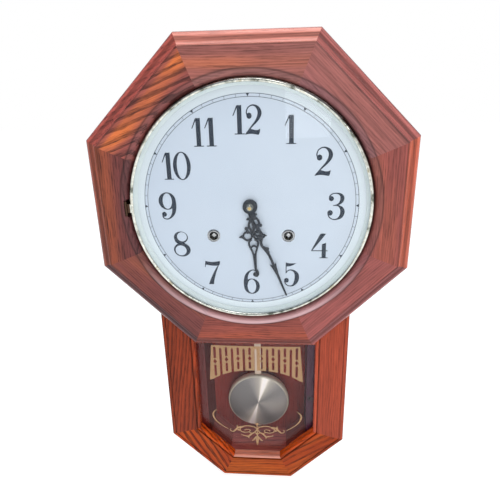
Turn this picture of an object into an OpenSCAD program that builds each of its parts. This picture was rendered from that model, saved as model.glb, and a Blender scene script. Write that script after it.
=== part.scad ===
// Wall clock with an octagonal head, a short glazed drop and a two-train
// key-wound pendulum movement.
// Millimetres. Origin: the wall plane behind the centre of the dial.
// +X is to the right seen from the front, +Z is up, the front faces -Y.
// Depths are given as f, the distance forward from the wall.

/* [Head] */
// flat-to-flat size of the octagonal head
head_w = 419; // [400:1:440]
// depth of the wooden staves of the head
stave_depth = 28; // [22:1:34]
// radius of the round opening in the head
bezel_hole_r = 158.6; // [158:0.1:162]
// radius of the rounded edge of that opening
lip_r = 9.6; // [5:0.1:10]

/* [Drop door] */
// half width of the door at its stiles
door_hw = 138.65; // [130:0.05:145]
// lowest edge of the door below the dial centre
door_bottom = 474.1; // [440:0.1:500]
// height below the dial centre where the lower corners start
door_corner = 391.9; // [370:0.1:420]
// half width of the bottom edge
door_bottom_hw = 56.4; // [50:0.1:70]
// half width of the glazed opening
open_hw = 91.3; // [80:0.1:100]
// lowest edge of the glazed opening
open_bottom = 432.1; // [400:0.1:450]
// highest edge of the glazed opening
open_top = 216.2; // [214:0.1:230]

/* [Case] */
// half width of the body behind the door
body_hw = 99; // [90:1:130]
// thickness of the side boards
side_t = 19; // [12:1:22]
// depth of the body from the wall
body_depth = 74; // [60:1:90]
// thickness of the back board
back_t = 6; // [4:0.5:9]

/* [Dial and bezel] */
// radius of the dial plate
dial_r = 151.5; // [148:0.1:156]
// distance of the dial face from the wall
dial_f = 105.3; // [100:0.1:110]
// outer radius of the bezel ring
bezel_r = 157.2; // [156:0.1:158]
// half distance between the two winding holes
wind_x = 50; // [45:0.5:55]
// height of the winding holes below the dial centre
wind_z = -41; // [-45:0.5:-38]

/* [Pendulum] */
// height of the swing axis above the dial centre
swing_z = 45; // [40:0.5:50]
// height of the bob's centre
bob_z = -367; // [-380:0.5:-350]
// radius of the bob
bob_r = 52.5; // [45:0.5:55]
// distance of the pendulum plane from the wall
pend_f = 30; // [26:0.5:32]

/* [Hands at rest] */
// clockwise angle of the minute hand from twelve
minute_at = 158.6; // [0:0.1:360]
// clockwise angle of the hour hand from twelve
hour_at = 176; // [0:0.1:360]

/* [Hidden] */
$fn = 48;
e = 0.01;
a0 = head_w / 2;                       // flat distance of the octagon
c8 = a0 * tan(22.5);                   // half length of one side
fs = 90;                               // back plane of the staves
ff = fs + stave_depth;                 // front plane of the staves
door_b = 74.6;                         // back plane of the door
door_f = 92;                           // front plane of the door
door_gap = 3.6;                        // gap between door corners and head
top_z = -(a0 + 1.4);                   // top edge of the door
diag_out = door_hw + door_corner;      // x + |z| on the outer lower corners
diag_in = 469.7;                       // x + |z| on the opening corners
diag_top = (a0 + door_gap) * sqrt(2);  // x + |z| on the door's upper corners
body_top = 140;
body_bot = 463;
body_in_bot = 449;
diag_b_out = 514;
diag_b_in = 497;
pf1 = 82.5; pf2 = 84;                  // movement front plate
pb1 = 43; pb2 = 44.5;                  // movement back plate
gx = wind_x; gz = wind_z;              // winding axis, right
// train centres
cg = sqrt(gx * gx + gz * gz);
gs = (60 + 9) * 0.91 / 2;              // barrel wheel to second arbor
sc = (56 + 12) * 1.0 / 2;              // second wheel to centre arbor
sa = (sc * sc - gs * gs + cg * cg) / (2 * cg);
sh = sqrt(sc * sc - sa * sa);
sx = sa * gx / cg + sh * (-gz) / cg;
sz = sa * gz / cg + sh * gx / cg;
ct = (66 + 8) * 0.65 / 2;
tx = ct * cos(45); tz = ct * sin(45);
te = (63 + 7) * 0.56 / 2;
ez = tz + sqrt(te * te - tx * tx);     // escape arbor height
sp = (56 + 8) * 1.0 / 2;
px = -sx + sp * cos(105); pz = sz + sp * sin(105);
pw = (48 + 8) * 0.75 / 2;
wx = px + pw * cos(50); wz = pz + pw * sin(50);
wf = (40 + 7) * 0.6 / 2;
vx = wx + wf * cos(110); vz = wz + wf * sin(110);
mm = (12 + 36) * 0.8 / 2;              // cannon to minute wheel
hx = -62; hz = 0;                      // hammer arbor

// ---------- helpers ----------

// flat shape drawn as seen from the front, from depth f0 to f0 + h
module slab(f0, h) { translate([0, -f0, 0]) rotate([90, 0, 0]) linear_extrude(h) children(); }
// profile (radius, depth) turned about the dial axis
module turned() { rotate([90, 0, 0]) rotate_extrude($fn = 96) children(); }
// rod along the depth axis
module rod(x, z, r, f0, f1, n = 32) { slab(f0, f1 - f0) translate([x, z]) circle(r, $fn = n); }

// half angle of a gear tooth, in degrees, at radius q
function inv(c) = tan(acos(c)) * 180 / PI - acos(c);
function tooth(q, n, m, th) = let (rp = n * m / 2, rb = rp * cos(20))
  th * 180 / n + inv(cos(20)) - inv(min(1, rb / max(q, rb)));
// gear outline: n teeth of module m, th is the tooth's share of the pitch
module gear(n, m, turn = 0, th = 0.4, add = 0.55, ded = 0.85, fine = false) {
  rp = n * m / 2; ra = rp + add * m; rr = rp - ded * m;
  q = fine ? [rr, rp, ra] : [rr, ra];
  k = len(q);
  polygon([for (i = [0 : n - 1]) for (j = [0 : 2 * k - 1])
    let (s = j < k ? -1 : 1, r = j < k ? q[j] : q[2 * k - 1 - j],
      t = turn + i * 360 / n + s * tooth(r, n, m, th))
    [r * cos(t), r * sin(t)]]);
}
// angle of a tooth of gear B so that it meshes with gear A
function mesh(dir, na, nb, pa) = dir + 180 + (dir - pa) * na / nb + 180 / nb;
function dir(x0, z0, x1, z1) = atan2(z1 - z0, x1 - x0);

// ---------- case ----------

module wood(c = [0.48, 0.20, 0.10]) { color(c) children(); }

module back_board() wood([0.36, 0.13, 0.08]) difference() {
  slab(0, back_t) polygon([[-body_hw + side_t, 126], [body_hw - side_t, 126],
    [body_hw - side_t, -(diag_b_in - body_hw + side_t)], [diag_b_in - body_in_bot, -body_in_bot],
    [-(diag_b_in - body_in_bot), -body_in_bot], [-body_hw + side_t, -(diag_b_in - body_hw + side_t)]]);
  slab(-1, 2.7) translate([-16.2, 88.8]) square([32.4, 34.4]);
  rod(0, 104, 7, -1, 8);
  slab(-1, 9) translate([-4, 104]) square([8, 10]);
}

module case_side(s) mirror([s < 0 ? 1 : 0, 0, 0]) slab(0, body_depth)
  polygon([[body_hw, body_top], [body_hw, -(diag_b_out - body_hw)],
    [body_hw - side_t, -(diag_b_in - body_hw + side_t)], [body_hw - side_t, body_top]]);
module case_side_left() wood([0.42, 0.16, 0.09]) case_side(-1);
module case_side_right() wood([0.42, 0.16, 0.09]) difference() {
  case_side(1);
  rod(85, -327, 4.1, 70, 80);
}
module case_diagonal(s) mirror([s < 0 ? 1 : 0, 0, 0]) slab(0, body_depth)
  polygon([[body_hw, -(diag_b_out - body_hw)], [diag_b_out - body_bot, -body_bot],
    [diag_b_in - body_in_bot, -body_in_bot], [body_hw - side_t, -(diag_b_in - body_hw + side_t)]]);
module case_corner_boards() wood([0.42, 0.16, 0.09]) for (s = [-1, 1]) case_diagonal(s);
module case_floor() slab(0, body_depth)
  polygon([[-(diag_b_out - body_bot), -body_bot], [diag_b_out - body_bot, -body_bot],
    [diag_b_in - body_in_bot, -body_in_bot], [-(diag_b_in - body_in_bot), -body_in_bot]]);
module case_roof() slab(0, body_depth)
  translate([-body_hw + side_t, 126]) square([2 * (body_hw - side_t), 14]);
module case_end_boards() wood([0.42, 0.16, 0.09]) { case_floor(); case_roof(); }

module octagon(a) { c = a * tan(22.5);
  polygon([[-c, a], [c, a], [a, c], [a, -c], [c, -a], [-c, -a], [-a, -c], [-a, c]]); }
module head_backing_board() wood([0.45, 0.22, 0.12]) slab(body_depth, fs - body_depth)
  difference() { octagon(200); circle(112, $fn = 96); }

// one moulded stave of the head; k counts clockwise from the top
module stave_profile() difference() {
  union() {
    translate([-6, 0]) square([199.6 - 144, stave_depth]);
    translate([0, 0]) square([a0 - 150, 10]);
    translate([199.7 - 150, 10]) intersection() { circle(9.8, $fn = 48); square(10); }
    translate([199 - 150, 0]) square([0.7, 19.8]);
  }
  translate([201.6 - 150, stave_depth]) circle(8.1, $fn = 48);
}
module head_stave(k) color([0.52, 0.22, 0.11]) rotate([0, 45 * k, 0]) difference() {
  intersection() {
    translate([0, -fs, 150]) rotate([0, -90, 180]) translate([0, 0, -100]) linear_extrude(200) stave_profile();
    slab(fs - 1, stave_depth + 2) polygon([[0, 0], [c8 * 1.2, a0 * 1.2], [-c8 * 1.2, a0 * 1.2]]);
  }
  slab(fs - 2, stave_depth + 4) circle(bezel_hole_r, $fn = 96);
  turned() difference() {
    translate([bezel_hole_r - 1, ff - lip_r]) square([lip_r + 1, lip_r + 1]);
    translate([bezel_hole_r + lip_r, ff - lip_r]) circle(lip_r, $fn = 40);
  }
  // notch round the hinge of the bezel
  if (k == 6) {
    translate([-12, -119, bezel_hole_r - 2]) cube([24, 17, 5.2]);
    translate([-10.5, -119, bezel_hole_r - 2]) cube([21, 4.6, 7.8]);
  }
}
module head_stave_top() head_stave(0);
module head_stave_top_right() head_stave(1);
module head_stave_right() head_stave(2);
module head_stave_bottom_right() head_stave(3);
module head_stave_bottom() head_stave(4);
module head_stave_bottom_left() head_stave(5);
module head_stave_left() head_stave(6);
module head_stave_top_left() head_stave(7);

// steel plate with a keyhole, let flush into the back board
module hanger_plate() color([0.62, 0.62, 0.6]) slab(0, 1.5) difference() {
  translate([-16, 89]) square([32, 34]);
  translate([0, 104]) circle(4.6, $fn = 40);
  translate([-2.3, 104]) square([4.6, 8]);
  translate([0, 112]) circle(2.3, $fn = 32);
  for (s = [-1, 1]) translate([s * 12, 94]) circle(1.8, $fn = 24);
}

// ---------- drop door ----------

// moulding section: u runs outwards from the opening, v forwards
module door_profile(w) difference() {
  union() {
    difference() {
      square([w, door_f - door_b]);
      translate([-e, -e]) square([3.8, 4.41]);
      translate([-e, 14.6]) square([5.4, 4]);
      translate([5.2, 16.3]) square([1.3, 2]);
    }
    translate([2.8, 14.6]) circle(2.7, $fn = 40);
  }
  translate([w - 6.5, 16.3]) square([1.2, 2]);
  translate([w - 2.4, door_f - door_b - 2.4]) difference() {
    square(3); circle(2.4, $fn = 40); }
}
// bar of that section with its opening edge through p at angle t, cut to a region
module door_piece(p, t, w, region) intersection() {
  translate([p[0], -door_b, p[1]]) rotate([0, -t, 0]) rotate([0, 90, 0]) translate([0, 0, -300])
    linear_extrude(600) polygon_section(w);
  slab(door_b - 1, door_f - door_b + 2) polygon(region);
}
// section turned so that u points down and v points to the front
module polygon_section(w) mirror([0, 1]) door_profile(w);

in_a = [open_hw, -(diag_in - open_hw)];
in_b = [diag_in - open_bottom, -open_bottom];
out_a = [door_hw, -door_corner];
out_b = [door_bottom_hw, -door_bottom];
function mx(p) = [-p[0], p[1]];

module stile_right() door_piece([open_hw, -300], 90, door_hw - open_hw,
  [[open_hw - 1, -(diag_top - open_hw + 1)], [door_hw + 1, -(diag_top - door_hw - 1)],
   out_a + [1, 0], out_a, in_a, in_a + [-1, 0]]);
module diagonal_right() door_piece(in_a, 45, 38.4 + 4.6, [in_a, out_a, out_b, in_b]);

module door_stile_right() wood() stile_right();
module door_stile_left() wood() mirror([1, 0, 0]) stile_right();
module door_corner_pieces() wood() { diagonal_right(); mirror([1, 0, 0]) diagonal_right(); }
module door_bottom_rail() wood() door_piece([0, -open_bottom], 0, door_bottom - open_bottom,
  [in_b, out_b, mx(out_b), mx(in_b)]);
module door_top_rail() wood() slab(door_b, door_f - door_b)
  difference() {
    translate([-open_hw, -open_top]) square([2 * open_hw, open_top + top_z]);
    for (s = [-1, 1]) rotate(0) polygon([[s * (open_hw + 5), -(diag_top - open_hw - 5)],
      [s * (diag_top + top_z - 5), top_z + 5], [s * (open_hw + 30), top_z + 30]]);
  }
module door_glass() color([0.75, 0.8, 0.8, 0.3]) slab(door_b + 1.8, 2.5) {
  polygon([[open_hw + 3.5, -open_top + e], [open_hw + 3.5, -(diag_in + 4.9 - open_hw - 3.5)],
    [diag_in + 4.9 - open_bottom - 3.5, -open_bottom - 3.5],
    [-(diag_in + 4.9 - open_bottom - 3.5), -open_bottom - 3.5],
    [-open_hw - 3.5, -(diag_in + 4.9 - open_hw - 3.5)], [-open_hw - 3.5, -open_top + e]]);
}

hinge_x = -101.4; hinge_f = 72.2;
module knuckle(z0, z1, r, hole) difference() {
  translate([hinge_x, -hinge_f, z0]) cylinder(h = z1 - z0, r = r, $fn = 32);
  translate([hinge_x, -hinge_f, z0 - 1]) cylinder(h = z1 - z0 + 2, r = hole, $fn = 32);
}
module door_hinge_case_leaves() color([0.66, 0.55, 0.3]) for (z = [-255, -375]) {
  knuckle(z + 13.2, z + 20, 2.1, 0.9);
  knuckle(z - 20, z - 13.2, 2.1, 0.9);
  difference() {
    translate([hinge_x + 1.4, -hinge_f + 0.5, z - 20]) cube([1, 20, 40]);
    translate([hinge_x, -hinge_f - 3, z - 13.2]) cube([5, 6, 26.4]);
    for (s = [-1, 1]) translate([hinge_x - 2, -hinge_f + 13, z + s * 12]) rotate([0, 90, 0]) cylinder(h = 8, r = 1.6, $fn = 24);
  }
}
module door_hinge_door_leaves() color([0.66, 0.55, 0.3]) for (z = [-255, -375]) {
  knuckle(z - 12.9, z + 12.9, 2.1, 0.9);
  translate([hinge_x, -hinge_f, z - 20]) cylinder(h = 40, r = 0.85, $fn = 32);
  difference() {
    translate([hinge_x - 17, -74.6, z - 20]) cube([17, 1, 40]);
    translate([hinge_x - 3, -76, z + 12.9]) cube([8, 4, 10]);
    translate([hinge_x - 3, -76, z - 22.9]) cube([8, 4, 10]);
    for (s = [-1, 1]) rod(hinge_x - 10, z + s * 12, 1.6, 70, 80, 24);
  }
}
module door_catch_magnet() color([0.5, 0.5, 0.5]) difference() {
  rod(85, -327, 4, 70, 74.3);
  rod(85, -327, 1.5, 72, 80, 24);
}
module door_catch_strike() color([0.3, 0.29, 0.28]) slab(door_b - 0.01, 0.01 + 1.2)
  translate([open_hw - 1, -332]) square([4.79, 10]);

// ---------- dial, sight ring and bezel ----------

module dial_pan() color([0.75, 0.75, 0.7]) turned() union() {
  polygon([[150, 91.2], [150, 103.3], [128, 103.3], [128, 104.3], [152, 104.3], [157.5, 104.3],
    [157.5, 103.3], [151.2, 103.3], [151.2, 91.2], [151.2, 90], [118, 90], [118, 91.2]]);
}
module dial_plate() color([0.82, 0.87, 0.93]) slab(dial_f - 1, 1) difference() {
  circle(dial_r, $fn = 96);
  circle(5.4, $fn = 40);
  for (s = [-1, 1]) translate([s * wind_x, wind_z]) circle(6.4, $fn = 40);
}
module dial_grommets() color([0.7, 0.7, 0.68]) for (s = [-1, 1])
  translate([s * wind_x, 0, wind_z]) turned() union() {
    polygon([[6, dial_f - 1.4], [6, dial_f + 0.9], [7.2, dial_f + 1.1], [8.8, dial_f + 0.1],
      [8.8, dial_f], [6.4, dial_f], [6.4, dial_f - 1.4]]);
  }
module bezel_ring() color([0.75, 0.73, 0.66]) {
  turned() difference() {
    union() {
      translate([bezel_r - 2.4, 114]) circle(2.4, $fn = 40);
      translate([bezel_r - 1.4, 104.6]) square([1.4, 9.4]);
      translate([bezel_r - 4, 113]) square([3.8, 1.6]);
    }
    translate([147.6, 104]) square([bezel_r - 3.4 - 147.6, 11.3]);
    translate([147.6, 104]) square([bezel_r - 1.4 - 147.6, 9]);
  }
  // hinge knuckle tab
  translate([-162.2, -117, -5.8]) difference() {
    union() {
      cylinder(h = 11.6, r = 1.5, $fn = 28);
      translate([0, 0.6, 0]) cube([6.6, 1.5, 11.6]);
      translate([0, -1.2, 0]) cube([1, 3, 11.6]);
    }
    translate([0, 0, -1]) cylinder(h = 14, r = 0.75, $fn = 28);
  }
}
module sight_ring() color([0.78, 0.82, 0.78]) turned()
  polygon([[149.2, 105.8], [150.2, 105.8], [154.4, 109.9], [155.4, 109.9], [155.4, 110.8], [153.9, 110.8]]);
glass_r = 153.5;
rho = (glass_r * glass_r + 10 * 10) / 20;
module bezel_glass() color([0.85, 0.9, 0.9, 0.25]) turned() intersection() {
  difference() {
    translate([0, 125 - rho]) circle(rho, $fn = 360);
    translate([0, 125 - rho]) circle(rho - 1.9, $fn = 360);
  }
  translate([0, 112]) square([glass_r, 16]);
}
module bezel_hinge() color([0.75, 0.73, 0.66]) translate([-162.2, -117, 0]) {
  for (s = [-1, 1]) difference() {
    translate([0, 0, s > 0 ? 6 : -9.4]) cylinder(h = 3.4, r = 1.5, $fn = 28);
    translate([0, 0, s > 0 ? 5 : -10.4]) cylinder(h = 6, r = 0.7, $fn = 28);
  }
  translate([0, 0, -9.4]) cylinder(h = 18.8, r = 0.7, $fn = 28);
  difference() {
    translate([0.5, 0.2, -9.4]) cube([0.8, 13, 18.8]);
    translate([0, -1, -6]) cube([4, 3.5, 12]);
  }
}

// ---------- movement ----------

module plate2d() difference() {
  translate([-74, -78]) square([148, 136]);
  for (s = [-1, 1]) translate([s * 66, 22]) circle(5, $fn = 24);
}
brass = [0.72, 0.57, 0.27];
steel = [0.55, 0.55, 0.56];
module pivot_holes() {
  for (p = [[sx, sz], [tx, tz], [px, pz], [wx, wz], [vx, vz], [hx, hz]])
    translate(p) circle(1.05, $fn = 24);
  translate([0, ez]) circle(1.05, $fn = 24);
  translate([0, swing_z]) circle(1.25, $fn = 24);
}
module movement_front_plate() color(brass) {
  rod(0, -mm, 1.6, pf1, 92.6);
  slab(pf1, pf2 - pf1) difference() {
  plate2d();
  pivot_holes();
  circle(2.05, $fn = 32);
  translate([-sx, sz]) circle(1.05, $fn = 24);
  for (s = [-1, 1]) translate([s * gx, gz]) circle(3.05, $fn = 32);
  for (s = [-1, 1]) for (z = [51, -73]) translate([s * 69.6, z]) circle(2.05, $fn = 32);
  }
}
module movement_back_plate() color(brass) slab(pb1, pb2 - pb1) difference() {
  plate2d();
  pivot_holes();
  circle(1.55, $fn = 32);
  translate([-sx, sz]) circle(1.05, $fn = 24);
  for (s = [-1, 1]) translate([s * gx, gz]) circle(1.55, $fn = 32);
  for (s = [-1, 1]) for (z = [51, -73]) translate([s * 69.6, z]) circle(2.05, $fn = 32);
}
module movement_pillars() color(brass) for (s = [-1, 1]) for (z = [51, -73]) {
  rod(s * 69.6, z, 3.2, back_t, pb1);
  rod(s * 69.6, z, 2, pb1, pb2);
  rod(s * 69.6, z, 3.2, pb2, pf1);
  rod(s * 69.6, z, 2, pf1, pf2 + 2.4);
}

// barrel with its toothed great wheel; the wheel is at the rear
module barrel(s) translate([s * gx, 0, gz]) color(brass) difference() {
  union() {
    rod(0, 0, 24, 58.5, 79);
    slab(56, 2.5) gear(60, 0.91, s > 0 ? 0 : 180);
  }
  rod(0, 0, 3.06, 57.9, 90);
  rod(0, 0, 1.56, 50, 60);
}
module time_barrel() barrel(1);
module strike_barrel() barrel(-1);
module winding_arbor(s) translate([s * gx, 0, gz]) color(steel) {
  rod(0, 0, 1.5, 41, 58);
  rod(0, 0, 3, 58, 88);
  rod(0, 0, 4.2, 79.3, 82.2);
  slab(84.4, 1.8) difference() {
    polygon([for (i = [0 : 15]) for (j = [0, 1])
      let (q = j == 0 ? 11 : 9.2, t = i * 22.5 + (j == 0 ? 0 : 3)) [q * cos(s * t), q * sin(s * t)]]);
    circle(2, $fn = 24);
  }
  rod(0, 0, 2.2, 84.4, 87);
  slab(88, 14.5) rotate(45) square([4.4, 4.4], center = true);
}
module time_winding_arbor() winding_arbor(1);
module strike_winding_arbor() winding_arbor(-1);

// clicks that hold the ratchets, drawn just clear of the teeth
module winding_clicks() color(steel) for (s = [-1, 1]) mirror([s < 0 ? 1 : 0, 0, 0]) {
  slab(84.6, 1.4) {
    translate([34.8, -50]) circle(2.4, $fn = 28);
    polygon([[33.2, -49.4], [36.8, -51], [39, -43], [38, -40.6], [36.4, -43]]);
  }
  rod(34.8, -50, 1, pf2, 86.8, 24);
}

// arbor with two thin pivots
module arbor(x, z, r, f0 = pb2 + 0.4, f1 = pf1 - 0.4, tail = pb1 - 0.6) {
  rod(x, z, r, f0, f1, 24);
  rod(x, z, 1, tail, f0, 24);
  rod(x, z, 1, f1, pf2 + 0.6, 24);
}
a_gs = dir(gx, gz, sx, sz);
p_s = mesh(a_gs, 60, 9, 0);
a_sc = dir(sx, sz, 0, 0);
p_s2 = a_sc;
p_c = mesh(a_sc, 56, 12, p_s2);
module second_wheel() color(brass) {
  translate([sx, 0, sz]) {
    slab(55, 4.6) gear(9, 0.91, p_s, fine = true);
    slab(51.2, 1.5) gear(56, 1.0, p_s2);
  }
  arbor(sx, sz, 2);
}
a_ct = 45;
p_c2 = 45;
p_t = mesh(a_ct, 66, 8, p_c2);
a_te = dir(tx, tz, 0, ez);
p_t2 = a_te;
p_e = mesh(a_te, 63, 7, p_t2);
// centre arbor with its wheel, the friction-fitted cannon pinion in front
module centre_wheel() color(brass) {
  slab(50, 4) gear(12, 1.0, p_c, fine = true);
  slab(70.4, 1.4) gear(66, 0.65, p_c2);
  rod(0, 0, 2.6, pb2 + 0.4, pf1 - 0.4);
  rod(0, 0, 1.5, pb1 - 0.6, pb2 + 0.4);
  rod(0, 0, 2, pf1 - 0.4, 86);
  slab(86.2, 1.8) gear(12, 0.8, -90, fine = true);
  rod(0, 0, 3, 85, 110.4);
  rod(0, 0, 1.9, 110.4, 119.4);
}
module third_wheel() color(brass) {
  translate([tx, 0, tz]) {
    slab(69.2, 4) gear(8, 0.65, p_t, fine = true);
    slab(60.8, 1.2) gear(63, 0.56, p_t2);
  }
  arbor(tx, tz, 1.6);
}
module escape_wheel() color(brass) {
  translate([0, 0, ez]) {
    slab(59.6, 4) gear(7, 0.56, p_e, fine = true);
    slab(47.8, 1.2) polygon([for (i = [0 : 37]) for (j = [0, 1])
      let (q = j == 0 ? 12.4 : 10.6, t = i * 360 / 38 + (j == 0 ? 0 : 2.2)) [q * cos(t), q * sin(t)]]);
  }
  arbor(0, ez, 1.1);
}
// recoil anchor on the swing axis, drawn clear of the escape teeth, and the crutch behind
module anchor_and_crutch() color(steel) {
  arbor(0, swing_z, 1.6, tail = 38.8);
  slab(47.6, 1.6) difference() {
    union() {
      translate([0, swing_z]) circle(3.4, $fn = 32);
      polygon([[-2.6, swing_z - 1], [-13.2, swing_z - 5.6], [-14.8, swing_z - 12.6],
        [-13.0, swing_z - 12.6], [-11.4, swing_z - 7.4], [0, swing_z - 3.6],
        [11.4, swing_z - 7.4], [13.0, swing_z - 12.6], [14.8, swing_z - 12.6],
        [13.2, swing_z - 5.6], [2.6, swing_z - 1], [0, swing_z + 2]]);
    }
    translate([0, swing_z]) circle(1, $fn = 24);
  }
  slab(39.6, 1.4) {
    translate([0, swing_z]) circle(3, $fn = 32);
    polygon([[-1.4, swing_z], [1.4, swing_z], [1.1, 4], [3, 1], [3, -8], [-3, -8], [-3, 1], [-1.1, 4]]);
  }
  for (s = [-1, 1]) slab(25, 15) translate([s * 2.35, -4]) circle(0.6, $fn = 20);
}

// motion work in front of the plate
p_m = mesh(-90, 12, 36, -90);
module minute_wheel() color(brass) difference() {
  translate([0, 0, -mm]) {
    slab(86.4, 1.4) gear(36, 0.8, p_m);
    slab(87.8, 3.6) gear(10, mm / 25, 90, fine = true);
    rod(0, 0, 2.8, 84.9, 86.4);
  }
  rod(0, -mm, 1.65, 80, 95);
}
p_h = mesh(90, 10, 40, 90);
module hour_wheel() color(brass) difference() {
  union() {
    slab(89.4, 1.4) gear(40, mm / 25, p_h);
    rod(0, 0, 5, 89.4, 109.4);
  }
  rod(0, 0, 3.08, 80, 120);
}

// scrolled hands, drawn pointing up
module ring(x, y, r, w) translate([x, y]) difference() { circle(r, $fn = 32); circle(r - w, $fn = 28); }
module hour_shape() difference() {
  union() {
    circle(9, $fn = 40);
    polygon([[-4, 6], [4, 6], [3, 30], [-3, 30]]);
    for (s = [-1, 1]) ring(s * 7.6, 24, 6.2, 2.2);
    polygon([[-8, 27.5], [8, 27.5], [9, 36], [4.2, 46], [2.4, 60], [1.9, 88], [-1.9, 88], [-2.4, 60], [-4.2, 46], [-9, 36]]);
    translate([1.4, 90.5]) circle(4, $fn = 28);
  }
  circle(5.06, $fn = 32);
  translate([0, 37]) circle(5.4, $fn = 32);
}
module hour_hand() color([0.06, 0.06, 0.07]) slab(108, 1.2) rotate(-hour_at) hour_shape();
module minute_shape() difference() {
  union() {
    circle(9, $fn = 40);
    polygon([[-3.2, 6], [3.2, 6], [4.4, 24], [-4.4, 24]]);
    for (s = [-1, 1]) ring(s * 6.8, 26, 5.6, 2.0);
    polygon([[-7, 30], [7, 30], [8, 38], [3.6, 50], [3, 62], [6.4, 84], [4.6, 86], [1.6, 108], [0.7, 133],
      [-0.7, 133], [-1.6, 108], [-4.6, 86], [-6.4, 84], [-3, 62], [-3.6, 50], [-8, 38]]);
  }
  circle(3.04, $fn = 32);
  translate([0, 38.5]) circle(4.6, $fn = 32);
}
module minute_hand() color([0.06, 0.06, 0.07]) slab(110.6, 1.2) rotate(-minute_at)
  difference() { minute_shape(); circle(1.9, $fn = 32); }
module hand_nut() color([0.8, 0.66, 0.36]) turned()
  polygon([[1.9, 111.8], [5.2, 111.8], [5.2, 113.4], [4, 115.8], [4, 117.6], [3, 118.6], [1.9, 118.6]]);

// strike train
a_ls = dir(-gx, gz, -sx, sz);
p_ls = mesh(a_ls, 60, 9, 180);
a_sp = 105;
p_ls2 = 105;
p_p = mesh(a_sp, 56, 8, p_ls2);
module strike_second_wheel() color(brass) {
  translate([-sx, 0, sz]) {
    slab(55, 4.6) gear(9, 0.91, p_ls, fine = true);
    slab(48.3, 1.4) gear(56, 1.0, p_ls2);
  }
  arbor(-sx, sz, 2);
}
p_p2 = 50;
p_w = mesh(50, 48, 8, p_p2);
module strike_pin_wheel() color(brass) {
  translate([px, 0, pz]) {
    slab(47, 4) gear(8, 1.0, p_p, fine = true);
    slab(64.6, 1.4) gear(48, 0.75, p_p2);
    for (i = [0 : 7]) rotate([0, i * 45, 0]) rod(0, 13, 0.7, 61, 64.8, 16);
  }
  arbor(px, pz, 1.6);
}
p_w2 = 110;
p_v = mesh(110, 40, 7, p_w2);
module strike_warning_wheel() color(brass) {
  translate([wx, 0, wz]) {
    slab(63.4, 4) gear(8, 0.75, p_w, fine = true);
    slab(56.6, 1.2) gear(40, 0.6, p_w2);
  }
  arbor(wx, wz, 1.4);
}
module strike_fly() color(brass) {
  translate([vx, 0, vz]) slab(55.4, 4) gear(7, 0.6, p_v, fine = true);
  translate([vx, -80, vz]) rotate([0, 30, 0]) translate([-10.2, 0, -0.4]) cube([20.4, 12, 0.8]);
  arbor(vx, vz, 1);
}
module strike_hammer() color(steel) {
  arbor(hx, hz, 1.4, tail = 37.4);
  slab(61, 1.4) translate([hx, hz]) polygon([[-2, -2], [2, -2.4], [11, 2.2], [11, 3.8], [0, 3]]);
  slab(37.4, 1.4) {
    translate([hx, hz]) circle(2.6, $fn = 28);
    polygon([[hx - 1.2, hz], [hx + 1.2, hz], [hx + 7.2, -120], [hx + 4.8, -120]]);
  }
  rod(hx + 6, -122, 4.4, 9.5, 39.6);
}
// wooden block with two hanging gong rods
module gong() {
  color([0.2, 0.2, 0.2]) difference() {
    slab(back_t, 16) translate([-52, -104]) square([24, 16]);
    for (x = [-46, -36]) translate([x, -14, -105]) cylinder(h = 9, r = 1.55, $fn = 24);
  }
  color([0.5, 0.48, 0.44]) for (x = [-46, -36])
    translate([x, -14, -205]) cylinder(h = 108.6, r = 1.5, $fn = 24);
}

// ---------- pendulum ----------

// slotted bracket behind the movement that carries the suspension spring
module pendulum_cock() color(brass) {
  difference() {
    translate([-9, -36, 42.5]) cube([18, 12, 6.5]);
    translate([-0.6, -34.5, 40]) cube([1.2, 9, 12]);
  }
  for (s = [-1, 1]) translate([s * 7.5 - 1.5, -43, 42.5]) cube([3, 8, 6.5]);
}
module suspension_spring() color([0.7, 0.7, 0.7]) slab(pend_f - 4, 8)
  translate([-0.15, 31]) square([0.3, 15]);
module pendulum_rod() {
  color([0.6, 0.6, 0.6]) {
    slab(pend_f - 4.6, 9.2) translate([-2.4, 24]) square([4.8, 7]);
    translate([0, -pend_f, -62]) cylinder(h = 88, r = 1.4, $fn = 28);
  }
  color([0.74, 0.6, 0.34]) {
    slab(pend_f - 0.9, 1.8) translate([-5.25, bob_z - 20]) square([10.5, -60 - bob_z + 20]);
    translate([0, -pend_f, bob_z - bob_r - 9]) cylinder(h = bob_r, r = 1.3, $fn = 24);
  }
}
module pendulum_bob_and_nut() {
  color([0.6, 0.6, 0.58]) difference() {
    translate([0, 0, bob_z]) turned()
      polygon([[0, 19.6], [36, 20.4], [bob_r - 2.9, 21.9], [bob_r - 0.9, 23.4], [bob_r, 25.6],
        [bob_r, 31], [bob_r - 0.9, 33.6], [bob_r - 2.9, 35.4], [36, 37.4], [20, 38.4], [0, 38.8]]);
    slab(pend_f - 1, 2) translate([-5.35, bob_z - 20.2]) square([10.7, bob_r + 24]);
    translate([0, -pend_f, bob_z - bob_r - 4]) cylinder(h = bob_r, r = 1.35, $fn = 24);
  }
  color([0.85, 0.8, 0.65]) difference() {
    translate([0, -pend_f, bob_z - bob_r - 5]) cylinder(h = 4.4, r = 4.2, $fn = 32);
    translate([0, -pend_f, bob_z - bob_r - 6]) cylinder(h = 7, r = 1.33, $fn = 24);
  }
}

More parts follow.
